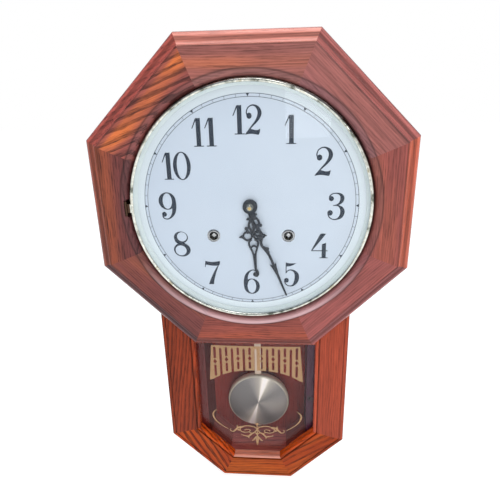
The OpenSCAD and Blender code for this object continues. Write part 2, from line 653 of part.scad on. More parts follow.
back_board();
case_side_left();
case_side_right();
case_corner_boards();
case_end_boards();
head_backing_board();
head_stave_top();
head_stave_top_right();
head_stave_right();
head_stave_bottom_right();
head_stave_bottom();
head_stave_bottom_left();
head_stave_left();
head_stave_top_left();
hanger_plate();
door_stile_left();
door_stile_right();
door_corner_pieces();
door_bottom_rail();
door_top_rail();
door_glass();
door_hinge_case_leaves();
door_hinge_door_leaves();
door_catch_magnet();
door_catch_strike();
dial_pan();
dial_plate();
dial_grommets();
bezel_ring();
sight_ring();
bezel_glass();
bezel_hinge();
movement_front_plate();
movement_back_plate();
movement_pillars();
time_barrel();
time_winding_arbor();
strike_barrel();
strike_winding_arbor();
winding_clicks();
second_wheel();
centre_wheel();
third_wheel();
escape_wheel();
anchor_and_crutch();
minute_wheel();
hour_wheel();
hour_hand();
minute_hand();
hand_nut();
strike_second_wheel();
strike_pin_wheel();
strike_warning_wheel();
strike_fly();
strike_hammer();
gong();
pendulum_cock();
suspension_spring();
pendulum_rod();
pendulum_bob_and_nut();
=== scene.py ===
import bpy
import bmesh
import math
from mathutils import Vector, Matrix


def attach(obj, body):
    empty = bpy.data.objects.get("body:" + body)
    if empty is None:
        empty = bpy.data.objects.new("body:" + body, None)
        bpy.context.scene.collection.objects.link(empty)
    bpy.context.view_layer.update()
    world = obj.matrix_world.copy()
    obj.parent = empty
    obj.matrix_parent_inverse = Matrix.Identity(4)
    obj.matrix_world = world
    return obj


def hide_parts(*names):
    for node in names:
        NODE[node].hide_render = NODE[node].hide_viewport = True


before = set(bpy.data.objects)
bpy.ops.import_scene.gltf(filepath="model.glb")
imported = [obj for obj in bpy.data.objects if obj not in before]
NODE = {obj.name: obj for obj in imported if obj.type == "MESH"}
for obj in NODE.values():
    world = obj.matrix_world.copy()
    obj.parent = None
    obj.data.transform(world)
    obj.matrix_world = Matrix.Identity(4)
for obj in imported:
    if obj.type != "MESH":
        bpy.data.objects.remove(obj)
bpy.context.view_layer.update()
MM = 0.001
BOB_Z = -367.0


# ------------------------------------------------------------------ camera
def make_camera():
    a, b, c = (math.radians(v) for v in (20.565, 4.636, 0.25))
    rx = Matrix(((1, 0, 0), (0, math.cos(a), -math.sin(a)), (0, math.sin(a), math.cos(a))))
    ry = Matrix(((math.cos(b), 0, math.sin(b)), (0, 1, 0), (-math.sin(b), 0, math.cos(b))))
    rz = Matrix(((math.cos(c), -math.sin(c), 0), (math.sin(c), math.cos(c), 0), (0, 0, 1)))
    base = Matrix(((1, 0, 0), (0, 0, -1), (0, 1, 0)))
    r = rz @ ry @ rx @ base
    flip = Matrix(((1, 0, 0), (0, -1, 0), (0, 0, -1)))
    m = (r.transposed() @ flip).to_4x4()
    m.translation = Vector((0.048412, -0.684258, 0.155793))
    cam = bpy.data.cameras.new("camera")
    cam.sensor_fit = 'HORIZONTAL'
    cam.sensor_width = 36.0
    cam.lens = 458.523 / 500 * 36.0
    cam.clip_start = 0.01
    cam.clip_end = 50
    o = bpy.data.objects.new("camera", cam)
    bpy.context.scene.collection.objects.link(o)
    o.matrix_world = m
    bpy.context.scene.camera = o


make_camera()
bpy.context.scene.view_settings.view_transform = 'Standard'


# ------------------------------------------------------------------ node helpers
def _rgba(c):
    return tuple(c) if len(c) == 4 else (*c, 1)


class Mat:
    def __init__(self, name, tree=None):
        if tree is None:
            self.m = bpy.data.materials.new(name)
            self.m.use_nodes = True
            self.t = self.m.node_tree
            self.t.nodes.clear()
            self.out = self.t.nodes.new("ShaderNodeOutputMaterial")
        else:
            self.t = tree

    def n(self, kind, **kw):
        node = self.t.nodes.new(kind)
        for k, v in kw.items():
            setattr(node, k, v)
        return node

    def link(self, a, b):
        self.t.links.new(a, b)

    def bsdf(self, color=(0.5, 0.5, 0.5), rough=0.5, metal=0.0):
        p = self.n("ShaderNodeBsdfPrincipled")
        p.inputs["Base Color"].default_value = (*color, 1)
        p.inputs["Roughness"].default_value = rough
        p.inputs["Metallic"].default_value = metal
        self.link(p.outputs[0], self.out.inputs[0])
        return p

    def coords(self, rot=(0, 0, 0), loc=(0, 0, 0), scale=(1, 1, 1)):
        tc = self.n("ShaderNodeTexCoord")
        mp = self.n("ShaderNodeMapping")
        mp.inputs["Rotation"].default_value = rot
        mp.inputs["Location"].default_value = loc
        mp.inputs["Scale"].default_value = scale
        self.link(tc.outputs["Object"], mp.inputs[0])
        return mp.outputs[0]

    def scaled(self, vec, scale, loc=(0, 0, 0)):
        mp = self.n("ShaderNodeMapping")
        mp.inputs["Scale"].default_value = scale
        mp.inputs["Location"].default_value = loc
        self.link(vec, mp.inputs[0])
        return mp.outputs[0]

    def split(self, vec):
        s = self.n("ShaderNodeSeparateXYZ")
        self.link(vec, s.inputs[0])
        return s.outputs[0], s.outputs[1], s.outputs[2]

    def noise(self, vec, scale=1.0, detail=4.0, rough=0.5, dist=0.0):
        t = self.n("ShaderNodeTexNoise")
        t.inputs["Scale"].default_value = scale
        t.inputs["Detail"].default_value = detail
        t.inputs["Roughness"].default_value = rough
        t.inputs["Distortion"].default_value = dist
        self.link(vec, t.inputs["Vector"])
        return t.outputs["Fac"]

    def ramp(self, fac, stops, interp='LINEAR'):
        r = self.n("ShaderNodeValToRGB")
        r.color_ramp.interpolation = interp
        el = r.color_ramp.elements
        while len(el) > 1:
            el.remove(el[-1])
        el[0].position = stops[0][0]
        el[0].color = _rgba(stops[0][1])
        for pos, col in stops[1:]:
            e = el.new(pos)
            e.color = _rgba(col)
        self.link(fac, r.inputs[0])
        return r.outputs[0]

    def grey(self, fac, stops):
        return self.ramp(fac, [(p, (v, v, v)) for p, v in stops])

    def math(self, op, a, b=None, c=None, clamp=False):
        m = self.n("ShaderNodeMath", operation=op, use_clamp=clamp)
        for i, v in enumerate((a, b, c)):
            if v is None:
                continue
            if isinstance(v, (int, float)):
                m.inputs[i].default_value = v
            else:
                self.link(v, m.inputs[i])
        return m.outputs[0]

    def mix(self, fac, a, b, mode='MIX'):
        m = self.n("ShaderNodeMix", data_type='RGBA', blend_type=mode)
        for idx, v in ((0, fac), (6, a), (7, b)):
            if isinstance(v, (int, float)):
                m.inputs[idx].default_value = v
            elif isinstance(v, tuple):
                m.inputs[idx].default_value = _rgba(v)
            else:
                self.link(v, m.inputs[idx])
        return m.outputs[2]

    def bump(self, height, strength=0.3, dist=0.001, normal=None):
        b = self.n("ShaderNodeBump")
        b.inputs["Strength"].default_value = strength
        b.inputs["Distance"].default_value = dist
        self.link(height, b.inputs["Height"])
        if normal is not None:
            self.link(normal, b.inputs["Normal"])
        return b.outputs[0]


# ------------------------------------------------------------------ wood
def head_lines(m, outer=(1, 1, 1), band=None):
    """Painted shade in the hollow of the head moulding and a painted highlight on its bead, painted shade with a greyer
    tint on the rounded lip and a dark line at the edge of the flat, and a painted sheen on the lower half of the lip.
    """
    x, y, z = m.split(m.coords())
    ax, az = m.math('ABSOLUTE', x), m.math('ABSOLUTE', z)
    s = m.math('MAXIMUM', m.math('MAXIMUM', ax, az), m.math('MULTIPLY', m.math('ADD', ax, az), 0.70711))
    t = m.math('MULTIPLY', m.math('SUBTRACT', s, 0.16), 20.0, clamp=True)
    rad = m.math('SQRT', m.math('ADD', m.math('MULTIPLY', x, x), m.math('MULTIPLY', z, z)))
    q = m.math('MULTIPLY', m.math('SUBTRACT', rad, 0.155), 50.0, clamp=True)
    # painted shade on the rounded lip: darker towards the bezel and in a dark line at the edge of the flat, with a
    # greyer purple tint
    lip_shade_tint = m.ramp(q, [(0.0, (0.62, 0.70, 0.78)), (0.16, (0.74, 0.90, 1.02)), (0.38, (0.84, 1.04, 1.18)), (0.56, (0.76, 0.94, 1.08)), (0.62, (0.44, 0.48, 0.52)),
                     (0.67, (0.44, 0.48, 0.52)), (0.71, (0.80, 0.84, 0.86)), (0.78, (1.0, 1.0, 1.0))])
    # painted sheen: a paler band on the lower half of the lip, where it faces up
    down = m.grey(m.math('DIVIDE', m.math('MULTIPLY', z, -1.0), rad), [(0.45, 0.0), (0.93, 1.0)])
    sheen_mask = m.math('MULTIPLY', down, m.grey(q, [(0.14, 0.0), (0.34, 0.35), (0.50, 1.0), (0.60, 0.85), (0.66, 0.0)]))
    # painted shade in the quirks and the hollow of the moulding, painted highlight on its beads
    f = m.grey(t, [(0.0, 1.0), (0.62, 1.0), (0.638, 0.62), (0.66, 0.62), (0.682, 1.24), (0.76, 1.16), (0.80, 0.74),
                   (0.86, 0.74), (0.89, 1.36), (0.95, 1.36), (0.985, 0.72), (1.0, 0.62)])
    # the per-stave multipliers of the outer moulding are painted light and shade
    mask = m.grey(t, [(0.63, 0.0), (0.68, 1.0)])
    tint = m.mix(mask, (1, 1, 1), tuple(outer))
    cm = m.n("ShaderNodeCombineColor")
    for i in range(3):
        m.link(f, cm.inputs[i])
    return m.mix(1.0, m.mix(1.0, tint, cm.outputs[0], 'MULTIPLY'), lip_shade_tint, 'MULTIPLY'), mask, m.math('MULTIPLY', sheen_mask, 0.62), (0.74, 0.50, 0.52), m.grey(t, band) if band else None


def door_lines(m, sheen_weight=0.0):
    """For the door: painted shade in a quirk beside the inner bead, in one beside the outer edge and at the outer edge
    itself, a painted highlight on the beads, and a paler painted sheen on the inner bead weighted by the second
    argument.
    """
    x, y, z = m.split(m.coords())
    ax, az = m.math('ABSOLUTE', x), m.math('ABSOLUTE', z)
    d = m.math('ADD', ax, az)
    u = m.math('MAXIMUM', m.math('MAXIMUM', m.math('SUBTRACT', ax, 0.0913), m.math('SUBTRACT', az, 0.4321)),
               m.math('MULTIPLY', m.math('SUBTRACT', d, 0.4697), 0.70711))
    v = m.math('MINIMUM', m.math('MINIMUM', m.math('SUBTRACT', 0.13865, ax), m.math('SUBTRACT', 0.4741, az)),
               m.math('MULTIPLY', m.math('SUBTRACT', 0.53055, d), 0.70711))
    # painted highlight on the inner bead, painted shade in the quirk beside it
    a = m.grey(m.math('MULTIPLY', u, 100.0, clamp=True), [(0.0, 1.75), (0.05, 1.60), (0.12, 1.45), (0.40, 1.30), (0.50, 0.62), (0.66, 0.62), (0.74, 1.0)])
    # painted shade at the outer edge and in its quirk, painted highlight on the bead between
    b = m.grey(m.math('MULTIPLY', v, 100.0, clamp=True), [(0.0, 0.66), (0.08, 0.80), (0.16, 1.14), (0.48, 1.06), (0.52, 0.74), (0.66, 0.74), (0.73, 1.0)])
    e = m.math('MINIMUM', m.math('MULTIPLY', u, 100.0, clamp=True), m.math('MULTIPLY', v, 100.0, clamp=True))
    f = m.math('MULTIPLY', a, b)
    cm = m.n("ShaderNodeCombineColor")
    for i in range(3):
        m.link(f, cm.inputs[i])
    # painted sheen: a paler band on the inner bead
    sheen_mask = m.math('MULTIPLY', m.grey(m.math('MULTIPLY', u, 100.0, clamp=True), [(0.0, 0.55), (0.04, 0.8), (0.12, 1.0), (0.34, 0.9), (0.47, 0.0)]), sheen_weight)
    return cm.outputs[0], m.grey(e, [(0.44, 1.0), (0.52, 0.0)]), sheen_mask, (0.66, 0.34, 0.28), None


# outer half width, lowest and highest face and diagonal of the case, metres
CASE = (0.099, 0.463, 0.140, 0.514)


def case_outside(m):
    """1 on the outer faces of the case boards."""
    x, y, z = m.split(m.coords())
    ax, low = m.math('ABSOLUTE', x), m.math('MULTIPLY', z, -1.0)
    u = m.math('MAXIMUM', m.math('SUBTRACT', ax, CASE[0]), m.math('SUBTRACT', low, CASE[1]))
    u = m.math('MAXIMUM', u, m.math('SUBTRACT', z, CASE[2]))
    u = m.math('MAXIMUM', u, m.math('MULTIPLY', m.math('SUBTRACT', m.math('ADD', ax, low), CASE[3]), 0.70711))
    return m.grey(m.math('MULTIPLY_ADD', u, 100.0, 1.0, clamp=True), [(0.80, 0.0), (0.90, 1.0)])


def octagon_rim(m):
    """1 on the rim of the octagonal backing board."""
    x, y, z = m.split(m.coords())
    ax, az = m.math('ABSOLUTE', x), m.math('ABSOLUTE', z)
    s = m.math('MAXIMUM', m.math('MAXIMUM', ax, az), m.math('MULTIPLY', m.math('ADD', ax, az), 0.70711))
    return m.grey(m.math('MULTIPLY', m.math('SUBTRACT', s, 0.192), 100.0, clamp=True), [(0.70, 0.0), (0.77, 1.0)])


def wood(name, angle=0.0, shift=(0, 0, 0), dark=(0.1, 0.02, 0.01), mid=(0.3, 0.07, 0.05), light=(0.45, 0.14, 0.08), fig=0.16,
         space=3.2, waves=1.0, orange=0.2, gold=None, dash=0.45, lines=None, other=None, fig_other=None, gloss=0.42,
         coat=0.10, spec=0.22, streaky=1.0, plain_edge=0.0, stain=None, stained=None):
    """Stained open-grain wood; the grain runs along angle degrees from +X towards +Z (other: angle where x > 0)."""
    m = Mat(name)
    gold = gold or (min(0.9, mid[0] * 1.45), mid[1] * 1.5, mid[2] * 0.95)
    base = m.coords(rot=(0, math.radians(angle), 0))
    figs = fig
    if other is not None:
        right = m.coords(rot=(0, math.radians(other), 0), loc=(0.37, 0.11, 0.21))
        sx, sy, sz = m.split(m.coords())
        side = m.math('GREATER_THAN', sx, 0.0)
        mv = m.n("ShaderNodeMix", data_type='VECTOR')
        m.link(side, mv.inputs[0])
        m.link(base, mv.inputs[4])
        m.link(right, mv.inputs[5])
        base = mv.outputs[1]
        if fig_other is not None:
            figs = m.math('MULTIPLY_ADD', side, fig_other - fig, fig)
    v = m.scaled(base, (1, 1, 1), shift)
    x, y, z = m.split(v)
    w1 = m.math('SUBTRACT', m.noise(m.scaled(v, (3.2, 8, 8)), 1.0, 2.0, 0.5), 0.5)
    w2 = m.math('SUBTRACT', m.noise(m.scaled(v, (13, 40, 40), (3.1, 1.7, 5.2)), 1.0, 2.0, 0.5), 0.5)
    zz = m.math('ADD', z, m.math('MULTIPLY', w1, 0.030 * waves))
    zz = m.math('ADD', zz, m.math('MULTIPLY', w2, 0.0035 * waves))
    phase = m.math('ADD', m.math('MULTIPLY', zz, 1000.0 / space), m.math('MULTIPLY', y, 120.0))
    edge = m.noise(m.scaled(v, (30, 420, 420), (7, 2, 4)), 1.0, 3.0, 0.65)
    phase = m.math('ADD', phase, m.math('MULTIPLY', edge, 1.2))
    saw = m.math('FRACT', phase)
    early = m.grey(saw, [(0.0, 0.0), (0.18, 0.22), (0.50, 0.95), (0.86, 1.0), (1.0, 0.05)])
    streak = m.math('SUBTRACT', m.noise(m.scaled(v, (5, 150, 150), (1, 8, 3)), 1.0, 4.0, 0.62), 0.5)
    fine = m.math('SUBTRACT', m.noise(m.scaled(v, (20, 620, 620), (6, 1, 9)), 1.0, 2.0, 0.55), 0.5)
    patch = m.math('SUBTRACT', m.noise(m.scaled(v, (4.5, 18, 18), (2, 4, 1)), 1.0, 3.0, 0.55), 0.5)
    tone = m.math('MULTIPLY_ADD', m.math('SUBTRACT', early, 0.62), figs, 0.5)
    tone = m.math('MULTIPLY_ADD', streak, 0.85 * streaky, tone)
    tone = m.math('MULTIPLY_ADD', fine, 0.92 * streaky, tone)
    tone = m.math('MULTIPLY_ADD', patch, 0.55, tone)
    col = m.ramp(tone, [(0.12, dark), (0.5, mid), (0.88, light)])
    warm = m.ramp(tone, [(0.12, tuple(0.5 * c for c in gold)), (0.5, gold), (0.88, tuple(min(0.9, 1.35 * c) for c in gold))])
    om = m.noise(m.scaled(v, (6.5, 40, 40), (9, 3, 6)), 1.0, 2.0, 0.5)
    warmth = m.math('MULTIPLY', m.grey(om, [(0.44, 0.0), (0.60, 1.0)]), orange)
    if lines is not None:
        f, edge_mask, sheen_mask, sheen_color, where = lines(m)
        if where is not None:
            warmth = m.math('MULTIPLY', m.math('MULTIPLY_ADD', warmth, 0.5, 0.5 * orange), where)
        else:
            warmth = m.math('MULTIPLY', warmth, m.math('MULTIPLY_ADD', edge_mask, -0.75, 1.0))
    col = m.mix(warmth, col, warm)
    if plain_edge:
        col = m.mix(m.math('MULTIPLY', edge_mask, plain_edge), col, mid)
    if stained is not None:
        other_side = m.ramp(tone, [(0.12, tuple(0.5 * c for c in stain)), (0.5, stain), (0.88, tuple(1.4 * c for c in stain))])
        col = m.mix(stained(m), col, other_side)
    # open pores: short dark dashes, gathered in the early part of each ring
    por = m.grey(m.noise(m.scaled(v, (70, 1000, 1000), (2, 9, 5)), 1.0, 2.0, 0.55), [(0.50, 0.0), (0.64, 1.0)])
    big = m.grey(m.noise(m.scaled(v, (42, 470, 470), (4, 3, 8)), 1.0, 2.0, 0.5), [(0.53, 0.0), (0.64, 1.0)])
    dens = m.grey(saw, [(0.0, 1.0), (0.30, 0.9), (0.55, 0.25), (0.92, 0.15), (1.0, 1.0)])
    pores = m.math('MULTIPLY', m.math('MAXIMUM', m.math('MULTIPLY', por, 0.7), big), dens)
    col = m.mix(m.math('MULTIPLY', pores, dash), col, tuple(c * 0.42 for c in dark))
    ro = m.math('MULTIPLY_ADD', pores, 0.20, gloss - 0.03)
    ro = m.math('MULTIPLY_ADD', patch, 0.14, ro)
    if lines is not None:
        # painted shade and highlight of the mouldings
        col = m.mix(1.0, col, f, 'MULTIPLY')
        # painted sheen: a paler band on the beads and on the lower lip
        sheen_fac = m.math('MULTIPLY', sheen_mask, m.math('MULTIPLY_ADD', m.math('ADD', streak, patch), 1.1, 0.95, clamp=True))
        col = m.mix(sheen_fac, col, sheen_color)
        ro = m.math('MULTIPLY_ADD', edge_mask, -0.14, ro)
    p = m.bsdf(rough=gloss)
    m.link(col, p.inputs["Base Color"])
    m.link(ro, p.inputs["Roughness"])
    p.inputs["Coat Weight"].default_value = coat
    p.inputs["Coat Roughness"].default_value = 0.18
    p.inputs["Specular IOR Level"].default_value = spec
    h = m.math('SUBTRACT', m.math('MULTIPLY', early, 0.20), pores)
    m.link(m.bump(h, 0.25, 0.0003), p.inputs["Normal"])
    return m.m


def put(node, mat):
    o = NODE[node]
    if not o.data.materials:
        o.data.materials.append(mat)
    for i in range(len(o.material_slots)):
        o.material_slots[i].material = mat


def pal(mean, lo=0.52, hi=1.38):
    return dict(dark=tuple(c * lo for c in mean), mid=mean, light=tuple(min(0.9, c * hi) for c in mean))


STAVES = {
    "top": dict(angle=0, shift=(0.3, 0.1, 0.7), orange=0.75, gold=(0.40, 0.110, 0.050), **pal((0.245, 0.080, 0.068))),
    "top_right": dict(angle=-45, shift=(1.3, 0.5, 0.2), orange=0.08, dash=0.35, **pal((0.242, 0.077, 0.069))),
    "right": dict(angle=90, shift=(2.1, 0.2, 0.9), orange=0.35, gold=(0.33, 0.082, 0.04), **pal((0.228, 0.053, 0.043))),
    "bottom_right": dict(angle=45, shift=(3.7, 0.9, 0.4), orange=0.12, dash=0.40, **pal((0.242, 0.062, 0.055))),
    "bottom": dict(angle=0, shift=(4.2, 0.4, 0.1), orange=0.75, gold=(0.32, 0.062, 0.024), dash=0.6, **pal((0.200, 0.0437, 0.0333))),
    "bottom_left": dict(angle=-45, shift=(5.5, 0.3, 0.6), orange=0.45, gold=(0.26, 0.070, 0.030), dash=0.55, **pal((0.145, 0.036, 0.032))),
    "left": dict(angle=90, shift=(6.1, 0.7, 0.3), orange=0.85, gold=(0.235, 0.052, 0.020), dash=0.75, streaky=1.25, **pal((0.111, 0.0262, 0.0240))),
    "top_left": dict(angle=20, shift=(0.4, 0.2, 0.1), orange=0.95, gold=(0.50, 0.122, 0.030), fig=0.62, space=9.0, waves=1.1, dash=0.75,
                     plain_edge=0.65, **pal((0.180, 0.0430, 0.0385), 0.46, 1.42)),
}
# where a warmer stain lies across the width of a stave, as steps of its distance from the opening
WARM = {"top": [(0.10, 0.3), (0.20, 1.0), (0.34, 0.8), (0.46, 0.15), (0.62, 0.0)],
        "bottom": [(0.18, 0.1), (0.36, 0.35), (0.50, 1.0), (0.62, 1.0), (0.68, 0.3)],
        "left": [(0.10, 0.0), (0.24, 0.15), (0.40, 0.8), (0.56, 1.0), (0.70, 0.9), (1.0, 0.8)],
        "top_left": [(0.10, 0.10), (0.22, 0.55), (0.32, 1.0), (0.50, 0.95), (0.58, 0.25), (0.66, 0.10), (1.0, 0.15)]}
# painted light and shade on the outer moulding of each stave, as multipliers of the flat: lighter on the top and side
# staves, darker on the lower staves
OUTER_LIGHT_SHADE = {"top": (1.75, 1.90, 1.72), "top_right": (1.04, 1.04, 1.04), "right": (1.60, 1.48, 1.05), "bottom_right": (0.78, 0.78, 0.84),
         "bottom": (0.72, 0.72, 0.74), "bottom_left": (0.54, 0.66, 0.80), "left": (1.20, 1.15, 1.05), "top_left": (1.45, 1.35, 1.25)}
for k, kw in STAVES.items():
    put("head_stave_" + k, wood("wood_stave_" + k, lines=lambda m, k=k: head_lines(m, OUTER_LIGHT_SHADE[k], WARM.get(k)), **kw))

put("door_stile_left", wood("wood_stile_left", 82, (0.7, 0.3, 0.2), fig=0.50, space=6.0, orange=0.10, dash=0.42, streaky=0.8, spec=0.14, coat=0.05,
                            lines=door_lines, **pal((0.172, 0.0232, 0.0058), 0.50, 1.5)))
put("door_stile_right", wood("wood_stile_right", 90, (1.9, 0.6, 0.8), fig=0.20, orange=0.15, dash=0.34, streaky=1.15, spec=0.16, coat=0.06,
                             lines=door_lines, **pal((0.284, 0.044, 0.0185))))
# the bottom rail gets a painted sheen on its inner bead
put("door_bottom_rail", wood("wood_bottom_rail", 5, (2.9, 0.6, 0.8), fig=0.35, space=6.0, orange=0.5, dash=0.5, spec=0.12, coat=0.05,
                             gold=(0.37, 0.075, 0.007), lines=lambda m: door_lines(m, 0.85), **pal((0.302, 0.0462, 0.0036), 0.46, 1.38)))
put("door_corner_pieces", wood("wood_door_corners", -62, (3.6, 0.2, 0.5), other=34, fig=0.80, fig_other=0.34, space=9.0, waves=0.6, orange=0.62,
                               dash=0.6, gold=(0.38, 0.068, 0.007), spec=0.12, coat=0.04, lines=door_lines,
                               **pal((0.245, 0.0305, 0.0034), 0.38, 1.45)))
put("door_top_rail", wood("wood_top_rail", 0, (3.3, 0.2, 0.5), **pal((0.26, 0.055, 0.032))))
# painted light and shade: the inner faces of the case boards are lighter and darker copies of one stained wood, paler
# on the end and corner boards and darker on the right side than the left; their outsides share one stain
for n, ang, oth, sh, mean in (("case_side_left", 90, None, (0.2, 0.4, 0.1), (0.126, 0.014, 0.0115)),
                              ("case_side_right", 90, None, (1.2, 0.8, 0.3), (0.060, 0.0155, 0.038)),
                              ("case_end_boards", 0, None, (2.2, 0.1, 0.4), (0.65, 0.163, 0.138)),
                              ("case_corner_boards", -45, 45, (2.8, 0.7, 0.6), (0.42, 0.100, 0.080))):
    put(n, wood("wood_" + n, ang, sh, other=oth, coat=0.06, gloss=0.48, orange=0.2, stain=(0.250, 0.062, 0.044), stained=case_outside,
                **pal(mean)))
put("back_board", wood("wood_back_board", 90, (4.2, 0.2, 0.7), coat=0.03, gloss=0.55, orange=0.1, **pal((0.266, 0.033, 0.0235))))
put("head_backing_board", wood("wood_backing", 0, (5.2, 0.5, 0.2), coat=0.03, gloss=0.60, orange=0.25, fig=0.40, space=7.0,
                               stain=(0.235, 0.068, 0.056), stained=octagon_rim, **pal((0.34, 0.12, 0.065))))


# ------------------------------------------------------------------ metals, enamel, glass
def metal(name, color, rough=0.25, var=0.08, scratch=0.12, tint=None, fine_scale=900, bump=0.04):
    m = Mat(name)
    v = m.coords()
    p = m.bsdf(color, rough, 1.0)
    big = m.noise(m.scaled(v, (28, 28, 28)), 1.0, 3.0, 0.6)
    fine = m.noise(m.scaled(v, (fine_scale,) * 3), 1.0, 3.0, 0.6)
    c2 = tint or tuple(c * 0.72 for c in color)
    m.link(m.mix(m.math('MULTIPLY', big, 0.6), color, c2), p.inputs["Base Color"])
    r = m.math('MULTIPLY_ADD', m.math('SUBTRACT', big, 0.5), var, rough)
    r = m.math('MULTIPLY_ADD', m.math('SUBTRACT', fine, 0.5), scratch, r, clamp=True)
    m.link(r, p.inputs["Roughness"])
    m.link(m.bump(fine, bump, 0.0002), p.inputs["Normal"])
    return m.m




def bezel_metal():
    """Polished ring with cloudy bright and dull spots; its outer wall and the hinge knuckle are painted dark brown as
    the shade of the wood recess.
    """
    m = Mat("bezel_nickel")
    v = m.coords()
    p = m.bsdf((0.62, 0.62, 0.55), 0.12, 1.0)
    x, y, z = m.split(v)
    rad = m.math('SQRT', m.math('ADD', m.math('MULTIPLY', x, x), m.math('MULTIPLY', z, z)))
    cloud = m.noise(m.scaled(v, (52, 52, 52)), 1.0, 3.0, 0.65)
    face = m.ramp(cloud, [(0.36, (0.16, 0.17, 0.14)), (0.46, (0.50, 0.51, 0.45)), (0.58, (0.72, 0.73, 0.66)), (0.70, (0.42, 0.38, 0.26))])
    # painted shade: dark brown on the outer wall and the hinge knuckle, beyond a radius of 157.3 mm
    back = m.grey(m.math('MULTIPLY', m.math('SUBTRACT', rad, 0.150), 50.0, clamp=True), [(0.350, 0.0), (0.366, 1.0)])
    m.link(m.mix(back, face, (0.07, 0.040, 0.026)), p.inputs["Base Color"])
    m.link(m.math('MULTIPLY_ADD', cloud, 0.14, 0.06), p.inputs["Roughness"])
    fine = m.noise(m.scaled(v, (900, 900, 900)), 1.0, 2.0, 0.5)
    m.link(m.bump(fine, 0.05, 0.0001), p.inputs["Normal"])
    return m.m


M_NICKEL = bezel_metal()
# painted shade: the bezel hinge is coloured dark brown as the shadow of the wood recess it sits in
M_HINGE_SHADED = metal("hinge_bronze_painted_shade", (0.09, 0.055, 0.036), 0.48, 0.10, 0.10)
M_CHROME = metal("grommet_chrome", (0.43, 0.43, 0.44), 0.20, 0.06, 0.05)
M_BRASS = metal("movement_brass", (0.72, 0.50, 0.20), 0.30, 0.10, 0.12)
M_STEEL = metal("plain_steel", (0.52, 0.52, 0.53), 0.32, 0.10, 0.14)
M_DULLBRASS = metal("dull_brass", (0.50, 0.35, 0.16), 0.38, 0.14, 0.12)
M_ZINC = metal("zinc_sheet", (0.55, 0.55, 0.55), 0.42, 0.16, 0.12)
M_DARK = metal("catch_dark_metal", (0.06, 0.05, 0.05), 0.45, 0.10, 0.10)
M_NUT = metal("hand_nut_brass", (0.40, 0.385, 0.33), 0.24, 0.05, 0.05)
M_CREAM = metal("rating_nut_brass", (0.86, 0.74, 0.52), 0.30, 0.05, 0.05)
M_GONG = metal("gong_steel", (0.20, 0.20, 0.21), 0.42, 0.12, 0.12)
M_ROD = metal("rod_brass", (0.62, 0.50, 0.38), 0.40, 0.10, 0.12)


def enamel(name, color, color2, rough=0.4, scale=20, bump=0.02, coat=0.0):
    m = Mat(name)
    v = m.coords()
    p = m.bsdf(color, rough)
    big = m.noise(m.scaled(v, (scale,) * 3), 1.0, 3.0, 0.55)
    fine = m.noise(m.scaled(v, (1400,) * 3), 1.0, 2.0, 0.5)
    m.link(m.mix(big, color, color2), p.inputs["Base Color"])
    m.link(m.math('MULTIPLY_ADD', m.math('SUBTRACT', big, 0.5), 0.10, rough), p.inputs["Roughness"])
    m.link(m.bump(fine, bump, 0.0001), p.inputs["Normal"])
    p.inputs["Coat Weight"].default_value = coat
    return m.m


M_DIAL = enamel("dial_enamel", (0.500, 0.556, 0.650), (0.548, 0.602, 0.688), 0.42, 9)
M_SIGHT = enamel("sight_ring_silver", (0.62, 0.69, 0.69), (0.70, 0.76, 0.76), 0.30, 14)
M_BLACK = enamel("hand_lacquer", (0.002, 0.006, 0.014), (0.006, 0.012, 0.024), 0.50, 60, 0.0)
M_INK = enamel("dial_ink", (0.006, 0.014, 0.030), (0.012, 0.023, 0.044), 0.6, 60, 0.0)
M_INK_THIN = enamel("track_ink", (0.050, 0.062, 0.078), (0.064, 0.078, 0.096), 0.6, 60, 0.0)


def glass(name, base=0.018, tint=(0.965, 0.975, 0.970), edge=0.75):
    """Clear thin glass: light passes straight through, with a gloss that grows at a grazing view."""
    m = Mat(name)
    v = m.coords()
    smear = m.noise(m.scaled(v, (14, 14, 14)), 1.0, 3.0, 0.6)
    tr = m.n("ShaderNodeBsdfTransparent")
    m.link(m.mix(smear, tint, tuple(c * 0.985 for c in tint)), tr.inputs[0])
    gl = m.n("ShaderNodeBsdfGlossy")
    m.link(m.mix(smear, (1, 1, 1), (0.95, 0.97, 1.0)), gl.inputs["Color"])
    m.link(m.math('MULTIPLY_ADD', smear, 0.03, 0.0), gl.inputs["Roughness"])
    lw = m.n("ShaderNodeLayerWeight")
    lw.inputs["Blend"].default_value = 0.5
    fac = m.math('MULTIPLY_ADD', m.math('POWER', lw.outputs["Facing"], 4.0), edge, base, clamp=True)
    mx = m.n("ShaderNodeMixShader")
    m.link(fac, mx.inputs[0])
    m.link(tr.outputs[0], mx.inputs[1])
    m.link(gl.outputs[0], mx.inputs[2])
    m.link(mx.outputs[0], m.out.inputs[0])
    return m.m


put("bezel_glass", glass("dial_glass", 0.010, (0.975, 0.982, 0.980)))
put("door_glass", glass("door_pane_glass", 0.012, (0.960, 0.948, 0.955)))
put("bezel_ring", M_NICKEL)
put("bezel_hinge", M_HINGE_SHADED)
put("dial_grommets", M_CHROME)
put("sight_ring", M_SIGHT)


